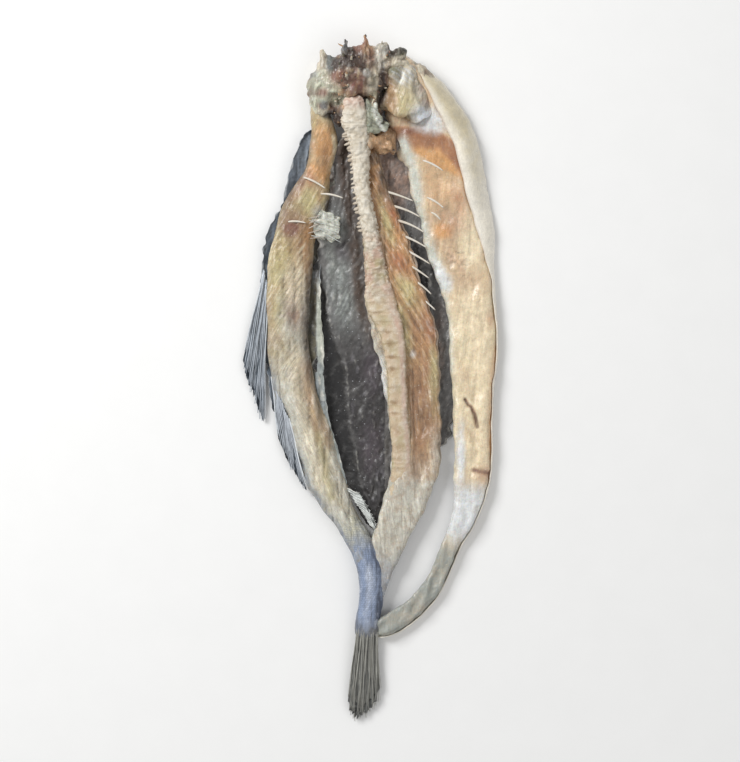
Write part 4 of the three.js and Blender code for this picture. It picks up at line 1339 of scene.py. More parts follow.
def right_flank_skin(finish):
    """The skin under the right flank. It folds up over the flank's outer edge as a smooth pale rim."""
    strip = right_flank_strip()
    rows = even_rows(strip.stations, FINE)
    reach = np.arccos(unit(rim_border(rows)) ** (1 / strip.flatness))[:, None]
    start = -np.pi * 0.985
    share = np.linspace(0, 1, 78)[None, :]
    angles = start + (reach - start) * share
    outer, t, u, v = sweep(strip, rows, angles)
    normal = facing(outer, wrap=False)
    folded = unit((share - 0.55) / 0.2)
    outer = outer + normal * (0.3 * folded + 0.3 * rough(outer, (5, 12, 6), 51)
                              + 0.12 * rough(outer, 2.4, 52))[..., None]
    inner = outer - normal * (SKIN_THICKNESS * (0.5 + 0.5 * np.minimum(1, 6 * (1 - share))))[..., None]
    outer[..., 2] = np.maximum(outer[..., 2], LOWEST_Z)
    inner[..., 2] = np.maximum(inner[..., 2], LOWEST_Z + LEAST_HEIGHT)
    points = np.concatenate([outer, inner[:, ::-1]], axis=1)
    verts, faces = closed_grid(points)
    both = lambda grid: spread_to_ends(np.concatenate([grid, grid[:, ::-1]], axis=1))
    top = unit(v * 2 + 0.3)
    lip = unit((share - 0.985) / 0.015) + 0 * v
    masks = {
        "cream": both(1.5 * np.maximum(top, 0.9 * unit(u * 2 - 0.9))),
        "yellow": both(top * bell(u, 0.75, 0.3) * (1 - ramp(t, 0.14, 0.3, 0, 0.8))),
        "brown": both(np.maximum(0.7 * lip * (t < 0.36), 0.25 * bell(u, 0.99, 0.05) * (t > 0.4))),
        "blue": both((v < 0.1) * unit(-u * 0.8 + 0.3)),
        "green": both(0.5 * bell(u, 0.9, 0.12) * (t < 0.3) + 0.4 * (v < 0) * bell(u, 0.2, 0.3)),
        "dusk": both(0.5 * (v < 0) * bell(u, -0.9, 0.3)),
        "netted": both(np.clip(-1.3 * v - 0.35 + 0.8 * rough(outer, (6, 18, 6), 53), 0.04, 1)),
        "lay": ends_added(lay_round(points)),
    }
    return make_piece("right_flank_skin", verts, faces, masks, finish)


# The middle.

def rib_tip(i):
    """Tip of one rib past the flesh's edge, and the direction it points, both in plan."""
    slope = np.radians(ramp(np.float64(i), 0, RIB_COUNT - 1, FIRST_RIB_SLOPE, LAST_RIB_SLOPE))
    y = RIB_TIP_Y - i * RIB_TIP_PITCH
    x = edge_at(CENTRE_FLESH, y) + ramp(np.float64(i), 0, RIB_COUNT, RIB_OVERHANG, RIB_OVERHANG / 4)
    return np.array([x, y]), np.array([np.cos(slope), np.sin(slope)])


def edge_at(stations, y):
    """x of a strip's right edge at that y."""
    table = np.array(stations, float)[::-1]
    return float(np.interp(y, table[:, 0], table[:, 1] + table[:, 2]))


def rib_fan_flesh(finish):
    stain = [[28.5, 6], [30, -12], [30.5, -35], [30.6, -62]]

    def detail(points, t, u, v):
        top = unit(v * 2)
        upper = 1 - ramp(t, 0.45, 0.62)
        near = 1 - ramp(t, 0.7, 0.8)
        over_ribs = (ridges(points, -58, 4.7, 60, 0.3) - 0.5) * 0.8 * upper * unit(u + 1.1)
        lower = (ridges(points, -72, 6.5, 61, 0.6) - 0.5) * 0.3 * (1 - upper) * near
        uneven = 1.1 * rough(points, (7, 15, 7), 62) + 0.35 * rough(points, 3.0, 63)
        groove = (
            -1.5 * streak(points, stain, 2.6) - 0.8 * creases(points, (4, 30, 6), 64) * (0.3 + 0.7 * near)
        )
        edge = -1.2 * bell(u, 1.0, 0.12) * upper
        return top * (over_ribs + lower + uneven + groove + edge)

    def masks(points, t, u, v):
        top = unit(v * 3 + 0.6)
        low = ramp(t, 0.42, 0.6)
        far = ramp(t, 0.68, 0.82)
        outer = bell(u, 0.8, 0.35)
        strands = unit(ridges(points, -60, 6.5, 66, 0.9) * 1.6 - 0.6)
        return {
            "fat": top * (1 - low) * 0.6 * unit(bell(u, 0.5, 0.5)),
            "ochre": top * np.maximum(0.8 * strands * (1 - low), 0.4 * outer * low * (1 - far)),
            "olive": top * patches(
                points, 68, 1.0, [25, 60, 5, 13, 25], [11, 108, 3, 14, 15], [23, 34, 4, 16, 10],
                [43, 4, 3, 22],
            ),
            "rust": top * patches(
                points, 71, 1.1, [20, 78, 5, 8, 35], [41, 34, 4, 12, 15], [15, 113, 3, 9, 30],
            ) * 0.75,
            "pale": top * most(
                bell(u, -1.0, 0.3) * ramp(t, 0.32, 0.5), 0.9 * far,
                0.6 * bell(u, 0.85, 0.5) * ramp(t, 0.62, 0.72),
            ),
            "cream": top * 0.6 * bell(u, -0.5, 0.35) * ramp(t, 0.1, 0.25) * (1 - far),
            "umber_and_painted_shadow": top * most(
                0.6 * streak(points, stain, 4.2, 0.6),
                0.55 * patches(points, 70, 1.2, [36, -4, 9, 20, 5], [32, 38, 9, 11, 20]),
                patches(points, 65, 1.1, [14, 128, 6, 10], [37, -22, 4, 12]),
            ),
            "dusk": top * np.maximum(
                0.8 * patches(points, 67, 0.9, [11, 136, 7, 13, 10], [5, 150, 8, 6]),
                0.6 * bell(u, 1.0, 0.07) * (1 - far),
            ),
            # A painted glint on a white tuft, and a pale band.
            "frost_and_painted_glint": top * patches(points, 69, 1.0, [29, 18, 1.8, 2.4], [8, -8, 2.5, 22, 2]) * 0.9,
            "skin": unit(-v * 2),
            "silver": 0.6 * tail_fade(points + np.array([0, 14, 0])),
            "banded": top * 0.9 * (1 - far),
        }

    grain = lambda points: ramp(points[..., 1], 30, -30, -60, -84)
    return strip_piece(
        "rib_fan_flesh", centre_flesh_strip(), finish, detail, masks, grain=grain,
        pivot=(25, 0),
    )


def backbone_lift(t):
    sunk = ramp(t, 0.3, 0.5, 0, 4.6) + ramp(t, 0.72, 1, 0, 3.6)
    return 14.5 + ramp(t, 0, 0.22, 6.5, 0) - sunk + 0.8 * wave(t, 2, 0.1)


def vertebra_profile(phase):
    """Half height of a spool-shaped vertebra along its length, 1 at its rims, with a slit between two."""
    waist = 0.96 + 0.04 * np.abs(np.cos(np.pi * phase)) ** 1.6
    return waist - 0.035 * bell(np.abs((phase + 0.5) % 1 - 0.5), 0, 0.06)


def backbone(finish):
    """The backbone: a lumpy pale column above, and below it a broad low band crossed by its vertebrae."""
    vertebrae = round((BACKBONE_TOP_Y - BACKBONE_END_Y) / VERTEBRA_PITCH)
    rows = np.linspace(0, 1, vertebrae * 12 + 1)
    plan = middle(BACKBONE, rows)
    half = half_width(BACKBONE, rows)[:, 0]
    wobble = 0.25 * noise(np.stack([rows * 300, 0 * rows, 0 * rows], -1), 9, 70)
    phase = rows * vertebrae + wobble
    spool = vertebra_profile(phase)
    closed = np.sqrt(1 - 0.8 * (1 - unit(rows / 0.02)) ** 2)
    angle = np.linspace(0, 2 * np.pi, 52, endpoint=False)[None, :]
    flat = ramp(rows, 0.34, 0.56)
    tall = VERTEBRA_RADIUS * (1 - 0.24 * flat) * ramp(rows, 0.75, 1, 1, 0.7)
    wide = half * (0.92 + 0.3 * flat * (1 - ramp(rows, 0.8, 1)))
    power = (1 - 0.35 * flat)[:, None]
    across = blunt(np.cos(angle), power)
    x = plan[:, :1] + (wide * spool * closed)[:, None] * across
    z = backbone_lift(rows)[:, None] + (tall * spool * closed)[:, None] * blunt(np.sin(angle), power)
    points = np.stack([x, plan[:, 1:] + 0 * x, z], -1)
    t = rows[:, None] + 0 * x
    broad = ramp(t, 0.32, 0.42)
    low = ramp(t, 0.46, 0.56)
    far = ramp(t, 0.8, 0.95)
    seam = (0.5 + 0.5 * np.cos(2 * np.pi * phase))[:, None] ** 2
    calm = (1 - 0.6 * low) * (1 - 0.5 * far)
    bumps = calm * (0.9 * rough(points, (5, 2.8, 5), 71) + 0.5 * rough(points, 1.5, 72))
    bumps += (
        -0.7 * calm * creases(points, (4, 4.5, 5), 74) + ramp(t, 0.0, 0.12, 1.5, 0) * rough(points, 5, 73)
    )
    bumps += 1.3 * ramp(t, 0.1, 0.14, 1, 0) * rough(points, (30, 7, 30), 69) * (across < 0)
    bumps += 0.7 * broad * rough(points, (7, 10, 7), 76) - 0.35 * low * seam * bell(across, -0.25, 0.5)
    points = points + facing(points) * bumps[..., None]
    verts, faces = closed_grid(points)
    patchy = unit(0.5 + 1.8 * rough(points, 6, 75))
    ladder = seam * bell(across, -0.35, 0.5) * low * (1 - far) * (0.3 + 0.7 * patchy)
    sides = unit(1 - np.sin(angle) * 1.5) + 0 * x
    clouds = [unit(0.35 + 2.2 * rough(points, size, seed)) for size, seed in ((6, 77), (8, 78), (5, 79))]
    masks = {
        "stain": spread_to_ends(
            unit(np.maximum(0.75 * ladder, 0.5 * sides * (1 - 0.6 * broad)) + broad * (0.34 - 0.2 * low))
        ),
        "pink": spread_to_ends(
            most(
                broad * clouds[0] * (1 - 0.7 * low), ramp(t, 0.012, 0.05, 1, 0),
                0.75 * low * bell(across, 0.65, 0.35),
            )
        ),
        "tan": spread_to_ends(
            np.maximum(low * (1 - 0.8 * bell(across, 0.65, 0.35)), 0.8 * broad * clouds[1])
        ),
        "olive": spread_to_ends(broad * clouds[2] * (0.9 - 0.3 * low) + 0.5 * sides * broad * (1 - far)),
        "lay": ends_added(lay_along(points, 90)),
    }
    return make_piece("backbone", verts, faces, masks, finish)


def spine_stubs(finish):
    """Blunt stumps of the spines in a comb down the left of the backbone, and down its right."""
    draw = np.random.default_rng(81)
    stubs = Bundle()
    length = BACKBONE_TOP_Y - BACKBONE_END_Y
    pitch = VERTEBRA_PITCH / 2.2 / length
    share = np.linspace(0, 1, 8)
    rounded = np.sqrt(1 - 0.9 * share**4)
    for t in np.arange(0.115, 0.36, pitch):
        x, y = middle(BACKBONE, t)
        half = half_width(BACKBONE, t)[0] * 0.85
        z = backbone_lift(np.float64(t)) + 1.2
        for side, reach in ((-1, draw.uniform(1.4, 3.4)), (1, draw.uniform(0.2, 0.8))):
            start = [x + side * (half - 2.4), y + 0.4, z]
            end = [x + side * (half + reach), y - draw.uniform(-0.4, 1.6), z - draw.uniform(0.2, 1.8)]
            radii = draw.uniform(0.8, 1.5) * rounded
            stubs.add(
                tube(bowed(start, end, 8, (0, 0, draw.uniform(0, 0.6))), radii, 9, flat=0.8), stain=0.0,
            )
    return stubs.piece("spine_stubs", finish, "bone", grain=0)


def rib_bones(finish):
    """White ribs that come out of the flesh and stand past its edge."""
    draw = np.random.default_rng(82)
    ribs = Bundle()
    for i in range(RIB_COUNT):
        tip, heading = rib_tip(i)
        length = RIB_LENGTH * draw.uniform(0.92, 1.0)
        tip = tip - heading * draw.uniform(0, 2.5)
        side = np.array([-heading[1], heading[0]])
        path = bowed(
            [*(tip - heading * length), 8.5], [*tip, 12.4], 20, (*(side * draw.uniform(0.4, 1.6)), 1.2),
        )
        stained = 0.9 * np.linspace(1, 0, 20) ** 3
        ribs.add(tube(path, np.linspace(1.15, 0.4, 20), 8, flat=0.8), stain=stained)
    return ribs.piece("rib_bones", finish, "bone", grain=-28)


def flank_bones(finish):
    """Loose thin bones that lie on the flanks."""
    draw = np.random.default_rng(83)
    bones = Bundle()
    for x, y, tip_x, tip_y, z in FLANK_BONES:
        path = bowed([x, y, z - 2], [tip_x, tip_y, z - 0.6], 16, (0, 0.8, draw.uniform(0.4, 1.2)))
        bones.add(tube(path, 0.2 + 0.5 * np.sin(np.linspace(0.5, 2.9, 16)), 9), stain=0.0)
    return bones.piece("flank_bones", finish, "bone", grain=0)


# Left edge of the flap of flesh and lining: [x, y].
FLAP_EDGE = [
    [-36, 166], [-36, 68], [-31.5, 60], [-29, 40], [-24, 26], [-17.5, 4], [-15.5, -13], [-15, -30],
    [-12, -47], [-9.5, -63], [-6, -75], [3, -100],
]


def beyond_flap(points):
    """How far a point lies to the right of the flap's ragged edge, in millimetres."""
    table = np.array(FLAP_EDGE, float)[::-1]
    edge = np.interp(points[..., 1], table[:, 1], table[:, 0])
    return points[..., 0] - edge - 2.2 * rough(points, (30, 7, 30), 96)


def back_lining(finish):
    """The dark skin of the back, with a thicker flap of flesh and lining left on it beside the backbone.
    Beyond the flap it is painted near black as the shadow in the gaps between the strips.
    """
    def detail(points, t, u, v):
        top = (v > 0) * 1.0
        flap = ease(unit(beyond_flap(points) / 2.2))
        folds = (ridges(points, 66, 5.0, 91, 1.6) - 0.5) * 0.3 * flap
        blotched = 1.0 * rough(points, (5, 8, 5), 90) - 0.7 * creases(points, (5, 14, 6), 97)
        buckled = (
            0.4 * rough(points * [1, 1, 0], (5, 10, 6), 92) + 0.35 * rough(points * [1, 1, 0], 2.4, 93)
        )
        return top * (1.2 * flap + folds + blotched * flap) + buckled * np.sign(v)

    def masks(points, t, u, v):
        top = (v > 0) * 1.0
        inside = beyond_flap(points)
        flap = unit(inside / 3)
        upper = 1 - ramp(t, 0.44, 0.6)
        left = points[..., 0] < 10
        backbone_edge = np.interp(points[..., 1], [-70, 6, 50, 106, 160], [13, 12, -2, -8, -17])
        beside_bone = bell(points[..., 0] - backbone_edge, -4, 5) * left
        smears = unit(rough(points, (4, 8, 4), 89) * 2.2 - 0.4)
        specks = unit(rough(points, (3, 4.5, 3), 88) * 3 - 0.4)
        speckled = patches(points, 87, 1.0, [1, -8, 6, 24, 4], [2, -62, 8, 12])
        ribs = unit(ridges(points, 62, 2.8, 91, 0.5) * 1.8 - 0.8)
        streaky = unit(0.8 + 0.7 * rough(points, (5, 14, 9), 86) + 0.3 * rough(points, 4, 85))
        return {
            "fleshy": top * flap * upper * np.maximum(
                0.8 * ribs * patch(points, -17, 50, 7, 15, soft=0.8, seed=94),
                0.5 * patch(points, -22, 88, 7, 18, soft=1.1, seed=93),
            ),
            "tissue": top * streaky * np.maximum(
                patches(points, 83, 0.5, [14, 134, 15, 19], [9, 150, 12, 8]),
                0.6 * patch(points, 45, 22, 5, 26, soft=0.8, seed=84),
            ),
            "blue": top * flap * patches(points, 95, 1.1, [-20, 78, 9, 34], [-17, 50, 8, 16]) * 0.85,
            # Painted shade: the lower flap darker, most on its left.
            "dim": top * flap * np.maximum(0.95 * (1 - upper) * left, 0.1 * (1 - left) * (1 - upper)),
            "plum": top * flap * patches(points, 99, 1.1, [1, -44, 6, 14], [-19, 88, 6, 8], [1, 8, 5, 14]),
            "pale": top * most(
                0.12 * bell(inside, 1.6, 1.6) * (1 - upper) * smears,
                (0.2 + 0.2 * (1 - upper)) * smears * flap * left, 0.45 * specks * speckled * flap,
            ),
            "brown": top * np.maximum(
                beside_bone * upper,
                patches(points, 98, 0.8, [-19, 164, 7, 16], [-27, 133, 3, 8], [6, 146, 3, 3]),
            ),
            # Painted shadow: near black beyond the flap, and a band between the centre and the right flank.
            "painted_gap_shadow": top * np.maximum(1 - flap, 0.8 * bell(u, 0.62, 0.3) * ramp(t, 0.25, 0.38) * upper),
            "skin": unit(-v * 3),
            "netted": np.where(v > 0, 0.05, 1.0),
        }

    return strip_piece("back_lining", back_skin_strip(), finish, detail, masks, grain=66)


# Tufts of thin threads: [x, y] of the root, the way they lean in degrees, their spread in x and y,
# height, count.
THREAD_TUFTS = [
    [[-35, 105], -4, [2, 4.5], 13.4, 4],
    [[-32, 98], -20, [2, 2], 12.2, 3],
    [[-20, -84], -60, [2, 5], 10, 6],
]


def tissue_threads(finish):
    """Dried threads across the gap beside the left flank, and tufts of finer ones."""
    draw = np.random.default_rng(211)
    threads = Bundle()
    for i in range(5):
        start = np.array([-42 + draw.uniform(0, 2), 109 - 3.4 * i, 14.2])
        end = start + np.array([draw.uniform(7, 10), draw.uniform(2, 4), -2.2])
        radii = draw.uniform(0.25, 0.4) * np.sin(np.linspace(0.3, 2.9, 14)) + 0.05
        threads.add(tube(bowed(start, end, 14, draw.normal(0, 0.3, 3)), radii, 8, flat=0.6), stain=0.5)
    for root, lean, spread, height, count in THREAD_TUFTS:
        for _ in range(count):
            start = np.array([*(root + draw.normal(0, 1, 2) * spread), height + draw.uniform(-0.5, 1.5)])
            angle = np.radians(lean + draw.normal(0, 9))
            reach = draw.uniform(6, 16)
            end = start + np.array([reach * np.cos(angle), reach * np.sin(angle), -draw.uniform(1, 3)])
            radii = draw.uniform(0.12, 0.26) * np.sin(np.linspace(1.9, 0.25, 14)) + 0.05
            threads.add(
                tube(bowed(start, end, 14, draw.normal(0, 0.8, 3)), radii, 8, flat=0.6), stain=0.0,
            )
    return threads.piece("tissue_threads", finish, "bone", grain=0)


# The tail.

def peduncle(finish):
    def detail(points, t, u, v):
        folds = -0.7 * creases(points, (3.5, 26, 5), 101) * (v > -0.2)
        return folds + 0.45 * rough(points, (5, 9, 5), 102) + 0.15 * rough(points, 1.8, 103)

    def masks(points, t, u, v):
        blotches = unit(0.5 + 1.3 * rough(points, (5, 13, 5), 104))
        return {
            # Painted shade down the sides and in the folds of the bare tail.
            "dusk": tail_fade(points) * (
                unit(bell(u, 0.95, 0.5) + 0.6 * bell(u, -1, 0.25)) * (0.5 + 0.5 * blotches)
                + 0.4 * creases(points, (3.5, 26, 5), 101)
            ),
            # A painted highlight down the middle of the top, and white specks.
            "pale": np.maximum(
                bell(u, -0.2, 0.4) * (v > 0) * blotches,
                0.9 * unit(rough(points, (1.8, 6, 3), 105) * 3 - 0.7) * (v > 0),
            ),
            "green": 1 - tail_fade(points),
            "grey": ramp(t, 0.76, 1) * (0.6 + 0.4 * blotches),
            "netted": 0.8 - 0.6 * ramp(t, 0.7, 0.95) + 0 * u,
        }

    return strip_piece(
        "peduncle_skin", peduncle_strip(), finish, detail, masks, (0.6, 0.6, 0.9), None,
    )


def fin(name, root_line, tip_line, rays, seed, ray_radius, ragged, edge, finish):
    """A fin: branching rays over a thin web with a ragged edge."""
    draw = np.random.default_rng(seed)
    place = lambda line, share: through([[x, y, z] for y, x, z in line], share)
    columns = rays * 8 + 1
    across = np.linspace(0, 1, columns)
    root, tip = place(root_line, across), place(tip_line, across)
    reach = (
        0.93
        - ragged * np.abs(noise(np.stack([across * rays * 1.3, 0 * across, 0 * across], -1), 1, seed))
    )
    rows = np.linspace(0, 1, 44)[:, None]
    along = rows * reach[None, :]
    sheet = root[None] + (tip - root)[None] * along[..., None]
    between = np.cos(2 * np.pi * across * rays)[None, :]
    sheet[..., 2] += 0.7 * np.sin(5 * along + across[None] * rays * 1.8) - 0.18 + 0.2 * between
    sheet[..., 2] += 0.3 * rough(sheet, (3, 8, 3), seed)
    drop = np.array([0, 0, 0.32])
    web = Bundle()
    rings = np.concatenate([sheet + drop / 2, sheet[:, ::-1] - drop / 2], axis=1)
    clockwise = np.cross(rings[1, 0] - rings[0, 0], rings[0, 4] - rings[0, 0])[2] > 0
    web.add(rings[:, ::-1] if clockwise else rings, ray=0.0, edge=0.0)
    for k in range(rays + 1):
        share = k / rays
        length = draw.uniform(0.9, 1.0) * (0.96 if 0 < k < rays else 0.9)
        steps = 26
        ladder = np.linspace(0, length, steps)
        start, end = place(root_line, share), place(tip_line, share)
        path = start + (end - start) * ladder[:, None]
        path[:, 2] += 0.7 * np.sin(5 * ladder + share * rays * 1.8) + 0.1
        side = np.array([-(end - start)[1], (end - start)[0], 0]) / np.linalg.norm(end - start)
        path += side * (0.35 * np.sin(ladder * 7 + k))[:, None]
        joints = 1 + 0.12 * np.abs(np.sin(ladder * 40))
        radii = ray_radius * (1 - 0.62 * ladder) * joints
        border = edge if k in (0, rays) else 0.0
        web.add(tube(path, radii, 7, flat=0.8), ray=1.0, edge=border)
        fork = path[steps // 2:] + side * np.linspace(0, 0.9, steps - steps // 2)[:, None]
        web.add(tube(fork, radii[steps // 2:] * 0.75, 6, flat=0.8), ray=1.0, edge=border)
    return web.piece(name, finish, "fin")


# Each fin: its name, root and tip lines, rays, seed, radius of a ray, raggedness and how pale its
# outermost rays are. Then its finish: name, rays, web, pale edge and that edge's strength.
FINS = [
    [("tail_fin", TAIL_FIN_ROOT, TAIL_TIP, 26, 111, 0.34, 0.12, 0.0),
     ("tail fin", "#a09f97", "#5f605e", "#b8b8ae", 0.6)],
    [("pelvic_fin", PELVIC_ROOT, PELVIC_TIP, 14, 112, 0.5, 0.1, 0.4),
     ("silver fin", "#acb3bb", "#3b444d", "#e3e7ea", 0.9)],
    [("anal_fin", ANAL_ROOT, ANAL_TIP, 13, 113, 0.5, 0.08, 1.0),
     ("dark silver fin", "#b4bac1", "#2c343c", "#e3e7ea", 0.9)],
    [("frayed_fin", FRAYED_FIN_ROOT, FRAYED_FIN_TIP, 11, 114, 0.3, 0.22, 0.8),
     ("frayed fin", "#e0e2de", "#b9bdba", "#eeeee6", 0.9)],
]


# The collar.

def lumpy_ball(x, y, z, half_x, half_y, half_z, seed):
    ball = bmesh.new()
    bmesh.ops.create_icosphere(ball, subdivisions=4, radius=1)
    place = np.array([v.co for v in ball.verts])
    faces = [[v.index for v in f.verts] for f in ball.faces]
    ball.free()
    swollen = 1 + 0.42 * swell(place[:, 0] * 11, place[:, 1] * 11, place[:, 2] * 11, seed)
    return np.array([x, y, z]) + place * np.array([half_x, half_y, half_z]) * swollen[:, None], faces


def fused(name, forms, voxel):
    """One closed mesh round overlapping forms, each given as vertices and faces in millimetres."""
    verts = np.vstack([form[0] for form in forms])
    faces = []
    start = 0
    for points, polygons in forms:
        faces += [[i + start for i in polygon] for polygon in polygons]
        start += len(points)
    mesh = bpy.data.meshes.new(name)
    mesh.from_pydata(verts * MM, [], faces)
    source = bpy.data.objects.new(name, mesh)
    bpy.context.scene.collection.objects.link(source)
    remesh = source.modifiers.new("skin over the lumps", "REMESH")
    remesh.mode = "VOXEL"
    remesh.voxel_size = voxel * MM
    smooth = source.modifiers.new("soften", "SMOOTH")
    smooth.iterations = 2
    shown = source.evaluated_get(bpy.context.evaluated_depsgraph_get())
    made = bpy.data.meshes.new_from_object(shown)
    bpy.data.objects.remove(source)
    return made


def displaced(mesh, detail):
    """Vertices of a mesh moved along their normals by detail, in millimetres, its faces and normals."""
    verts = np.array([v.co for v in mesh.vertices]) / MM
    normals = np.array([v.vector for v in mesh.vertex_normals])
    faces = [list(p.vertices) for p in mesh.polygons]
    return verts + normals * detail(verts)[:, None], faces, normals


def collar_meat(finish):
    """The torn meat round the missing head, with its spikes. The shreds need its vertices and normals."""
    strip = collar_strip()
    points, _, _, _ = sweep(strip, even_rows(COLLAR, 1.5), section_angles(strip, 1.5, 1.5)[None, :])
    forms = [closed_grid(points)]
    forms += [lumpy_ball(*lump, i + 2) for i, lump in enumerate(COLLAR_LUMPS)]
    for start, end, thick, thin in COLLAR_SPIKES:
        forms.append(
            closed_grid(tube(bowed(start, end, 14, (0.8, 0, 0.6)), np.linspace(thick, thin, 14), 16))
        )
    forms.append(lumpy_ball(-16.4, 221.5, 28, 2.7, 4.8, 2.6, 9))
    mesh = fused("collar lumps", forms, 0.8)

    def detail(verts):
        torn = -1.3 * creases(verts, (7, 10, 8), 121) - 0.5 * creases(verts, (4, 6, 4), 122)
        calm = (
            1
            - 0.7 * patches(
                verts, 126, 0.5, [-31, 214, 9, 12], [-34, 194, 9, 14], [40, 190, 10, 12],
                [8, 160, 12, 10],
            )
        )
        return calm * (torn + 1.1 * rough(verts, 6, 123) + 0.4 * rough(verts, 2.4, 124)) - 0.2

    verts, faces, normals = displaced(mesh, detail)
    verts[:, 1] = np.minimum(verts[:, 1], COLLAR_END_Y)
    deep = creases(verts, (7, 10, 8), 121)
    low = unit((17 - verts[:, 2]) / 17) * unit((verts[:, 1] - 195) / 20)
    shift = np.stack([rough(verts, 9, seed) for seed in (134, 135, 138)], -1)
    spots = verts + low[:, None] * (shift * [40, 26, 0])
    shaded_places = [
        [-12, 213, 10, 5, 5], [-5, 208, 3, 4], [8, 192, 3, 15], [9, 176, 4, 9], [19, 158, 2, 10],
        [-20, 168, 6, 14], [-20, 211, 6, 5], [-25, 178, 5, 3.5], [5, 146, 4, 4],
    ]
    masks = {
        "pale": np.maximum(
            patches(
                spots, 131, 0.5, [-32, 209, 7, 16], [-34, 218, 5, 12], [6, 218, 9, 14],
                [24, 210, 14, 8, -20], [2.5, 197, 4.5, 11], [38, 196, 14, 10], [0, 162, 2.5, 6],
                [-34, 179, 6, 3],
            ),
            0.45 * patch(spots, 8, 158, 9, 6, soft=1.0, seed=137),
        ),
        "green": patches(
            spots, 125, 0.7, [-35, 198, 8, 8], [-25, 194, 5, 6], [-33, 188, 9, 3], [-20, 187, 6, 3],
            [-38, 184, 3.5, 8],
        ),
        "olive": patches(spots, 136, 0.4, [17, 220.5, 9, 5, 5], [-25.5, 213, 3, 8]),
        # Grey leaves and tips, and grey spots; the one beside the pale spike is painted shade on its right
        # side.
        "grey": np.maximum(
            patches(spots, 127, 0.8, [-16.5, 222, 4, 6], [24, 225, 5, 4]),
            0.7 * patches(spots, 129, 0.5, [-27, 214, 3, 9], [-38, 205, 4, 3], [-31, 184, 3, 3]),
        ),
        "ochre": patches(
            spots, 140, 0.8, [-1.5, 225, 4.5, 9], [9, 159, 14, 10], [-21, 192, 4, 7], [-14, 184, 6, 6],
        ),
        "red": patches(
            spots, 144, 0.8, [-8, 220, 4, 4], [1, 216, 3, 6], [-3.5, 226, 2, 6], [-10, 196, 7, 5],
            [-32, 192, 4, 3], [-21, 201, 5, 5, -40],
        ) * 0.85,
        # Painted shade in the shaded places and the deep creases, and the two dark leaves.
        "dusk": unit(
            patches(spots, 147, 0.5, *shaded_places)
            + 0.4 * deep * (1 - 0.7 * patch(spots, 8, 158, 11, 9, seed=156))
            + 0.4 * patches(spots, 157, 0.5, [17, 220, 7, 4], [-16.5, 223, 4, 6])
        ),
        # Painted glints on faces that look up, a painted glint, and a pale patch.
        "frost_and_painted_glint": most(
            unit(rough(verts, 3, 151) * 3 - 1.7) * (normals[:, 2] > 0.1),
            patches(spots, 152, 0.5, [-2, 204, 2.5, 3]),
            0.8 * patch(spots, 7, 218, 3.5, 8, soft=0.9, seed=155),
        ),
        "fat": 0.6 * patches(spots, 153, 0.5, [-10, 196, 8, 8], [-4, 224, 6, 9]),
        "banded": np.full(len(verts), 0.4),
        "lay": lay_along(verts, 80),
    }
    make_piece("collar_meat", verts, faces, masks, finish)
    return verts, normals


def shoulder_girdle(finish):
    """The bony shoulder on top of the right flank, with dried meat on it."""
    mesh = fused("girdle lumps", [lumpy_ball(*lump, i + 7) for i, lump in enumerate(GIRDLE_LUMPS)], 0.8)

    def detail(verts):
        furrows = -0.45 * creases(verts, (7, 22, 9), 161) - 0.25 * creases(verts, (3, 9, 4), 164)
        return furrows + 0.9 * rough(verts, 7, 162) + 0.3 * rough(verts, 2.4, 163)

    verts, faces, _ = displaced(mesh, detail)
    masks = {
        "pale": patches(verts, 171, 0.8, [24, 203, 10, 8], [33, 195, 6, 12, -20]),
        "cream": patches(verts, 173, 0.8, [23, 184, 7, 11], [32, 180, 5, 6]),
        "olive": patches(verts, 174, 0.5, [16, 206, 4, 4]),
        "ochre": patches(verts, 175, 0.7, [13.5, 186, 4.5, 14], [22, 172, 7, 4]),
        "red": patches(verts, 178, 0.9, [36, 198, 3, 7, -20], [38, 186, 4, 5]) * 0.6,
        # Painted shade in the gap beside the shoulder and in its creases.
        "dusk": unit(patches(verts, 180, 0.5, [8.5, 195, 3, 13]) + 0.2 * creases(verts, (9, 20, 9), 161)),
        "frost_and_painted_glint": np.maximum(
            patch(verts, 38, 176, 9, 7, -20, soft=0.8, seed=182),
            patch(
                verts, 23, 203, 9, 6, 10, soft=1.0, seed=183,
            ) * np.clip(ridges(verts, -35, 3.2, 184) * 2 - 1, 0, 0.8),
        ),
        "banded": np.full(len(verts), 0.2),
        "lay": lay_along(verts, 70),
    }
    return make_piece("shoulder_girdle", verts, faces, masks, finish)


# Lumps of the torn membrane: [x, y, z, three half sizes].
MEMBRANE_LUMPS = [
    [-0.6, 177, 21.8, 3, 9, 1.9], [2, 174, 21.2, 3.4, 8, 1.8], [3.4, 168.6, 19.8, 4, 4, 1.7],
    [3.4, 180.4, 22.6, 2.4, 5, 2.0], [5.6, 174.4, 22.1, 3, 4.8, 2.1], [8.6, 169.6, 20.2, 3.6, 3.2, 2.0],
    [-31.6, 104.6, 11.4, 5.6, 7.6, 1.3], [-28.2, 103.6, 10.7, 5.6, 8.4, 1.3], [-25, 103, 10, 5, 7.6, 1.2],
    [-33, 97.4, 11.2, 3.2, 3.4, 1.2], [-22.4, 108, 9.4, 3, 3, 1.0], [-27, 110.4, 10.5, 4, 2.8, 1.1],
    [-35.6, 107, 12.2, 3, 2.6, 1.1], [-23, 97.6, 9.4, 3.4, 2.4, 1.0],
]


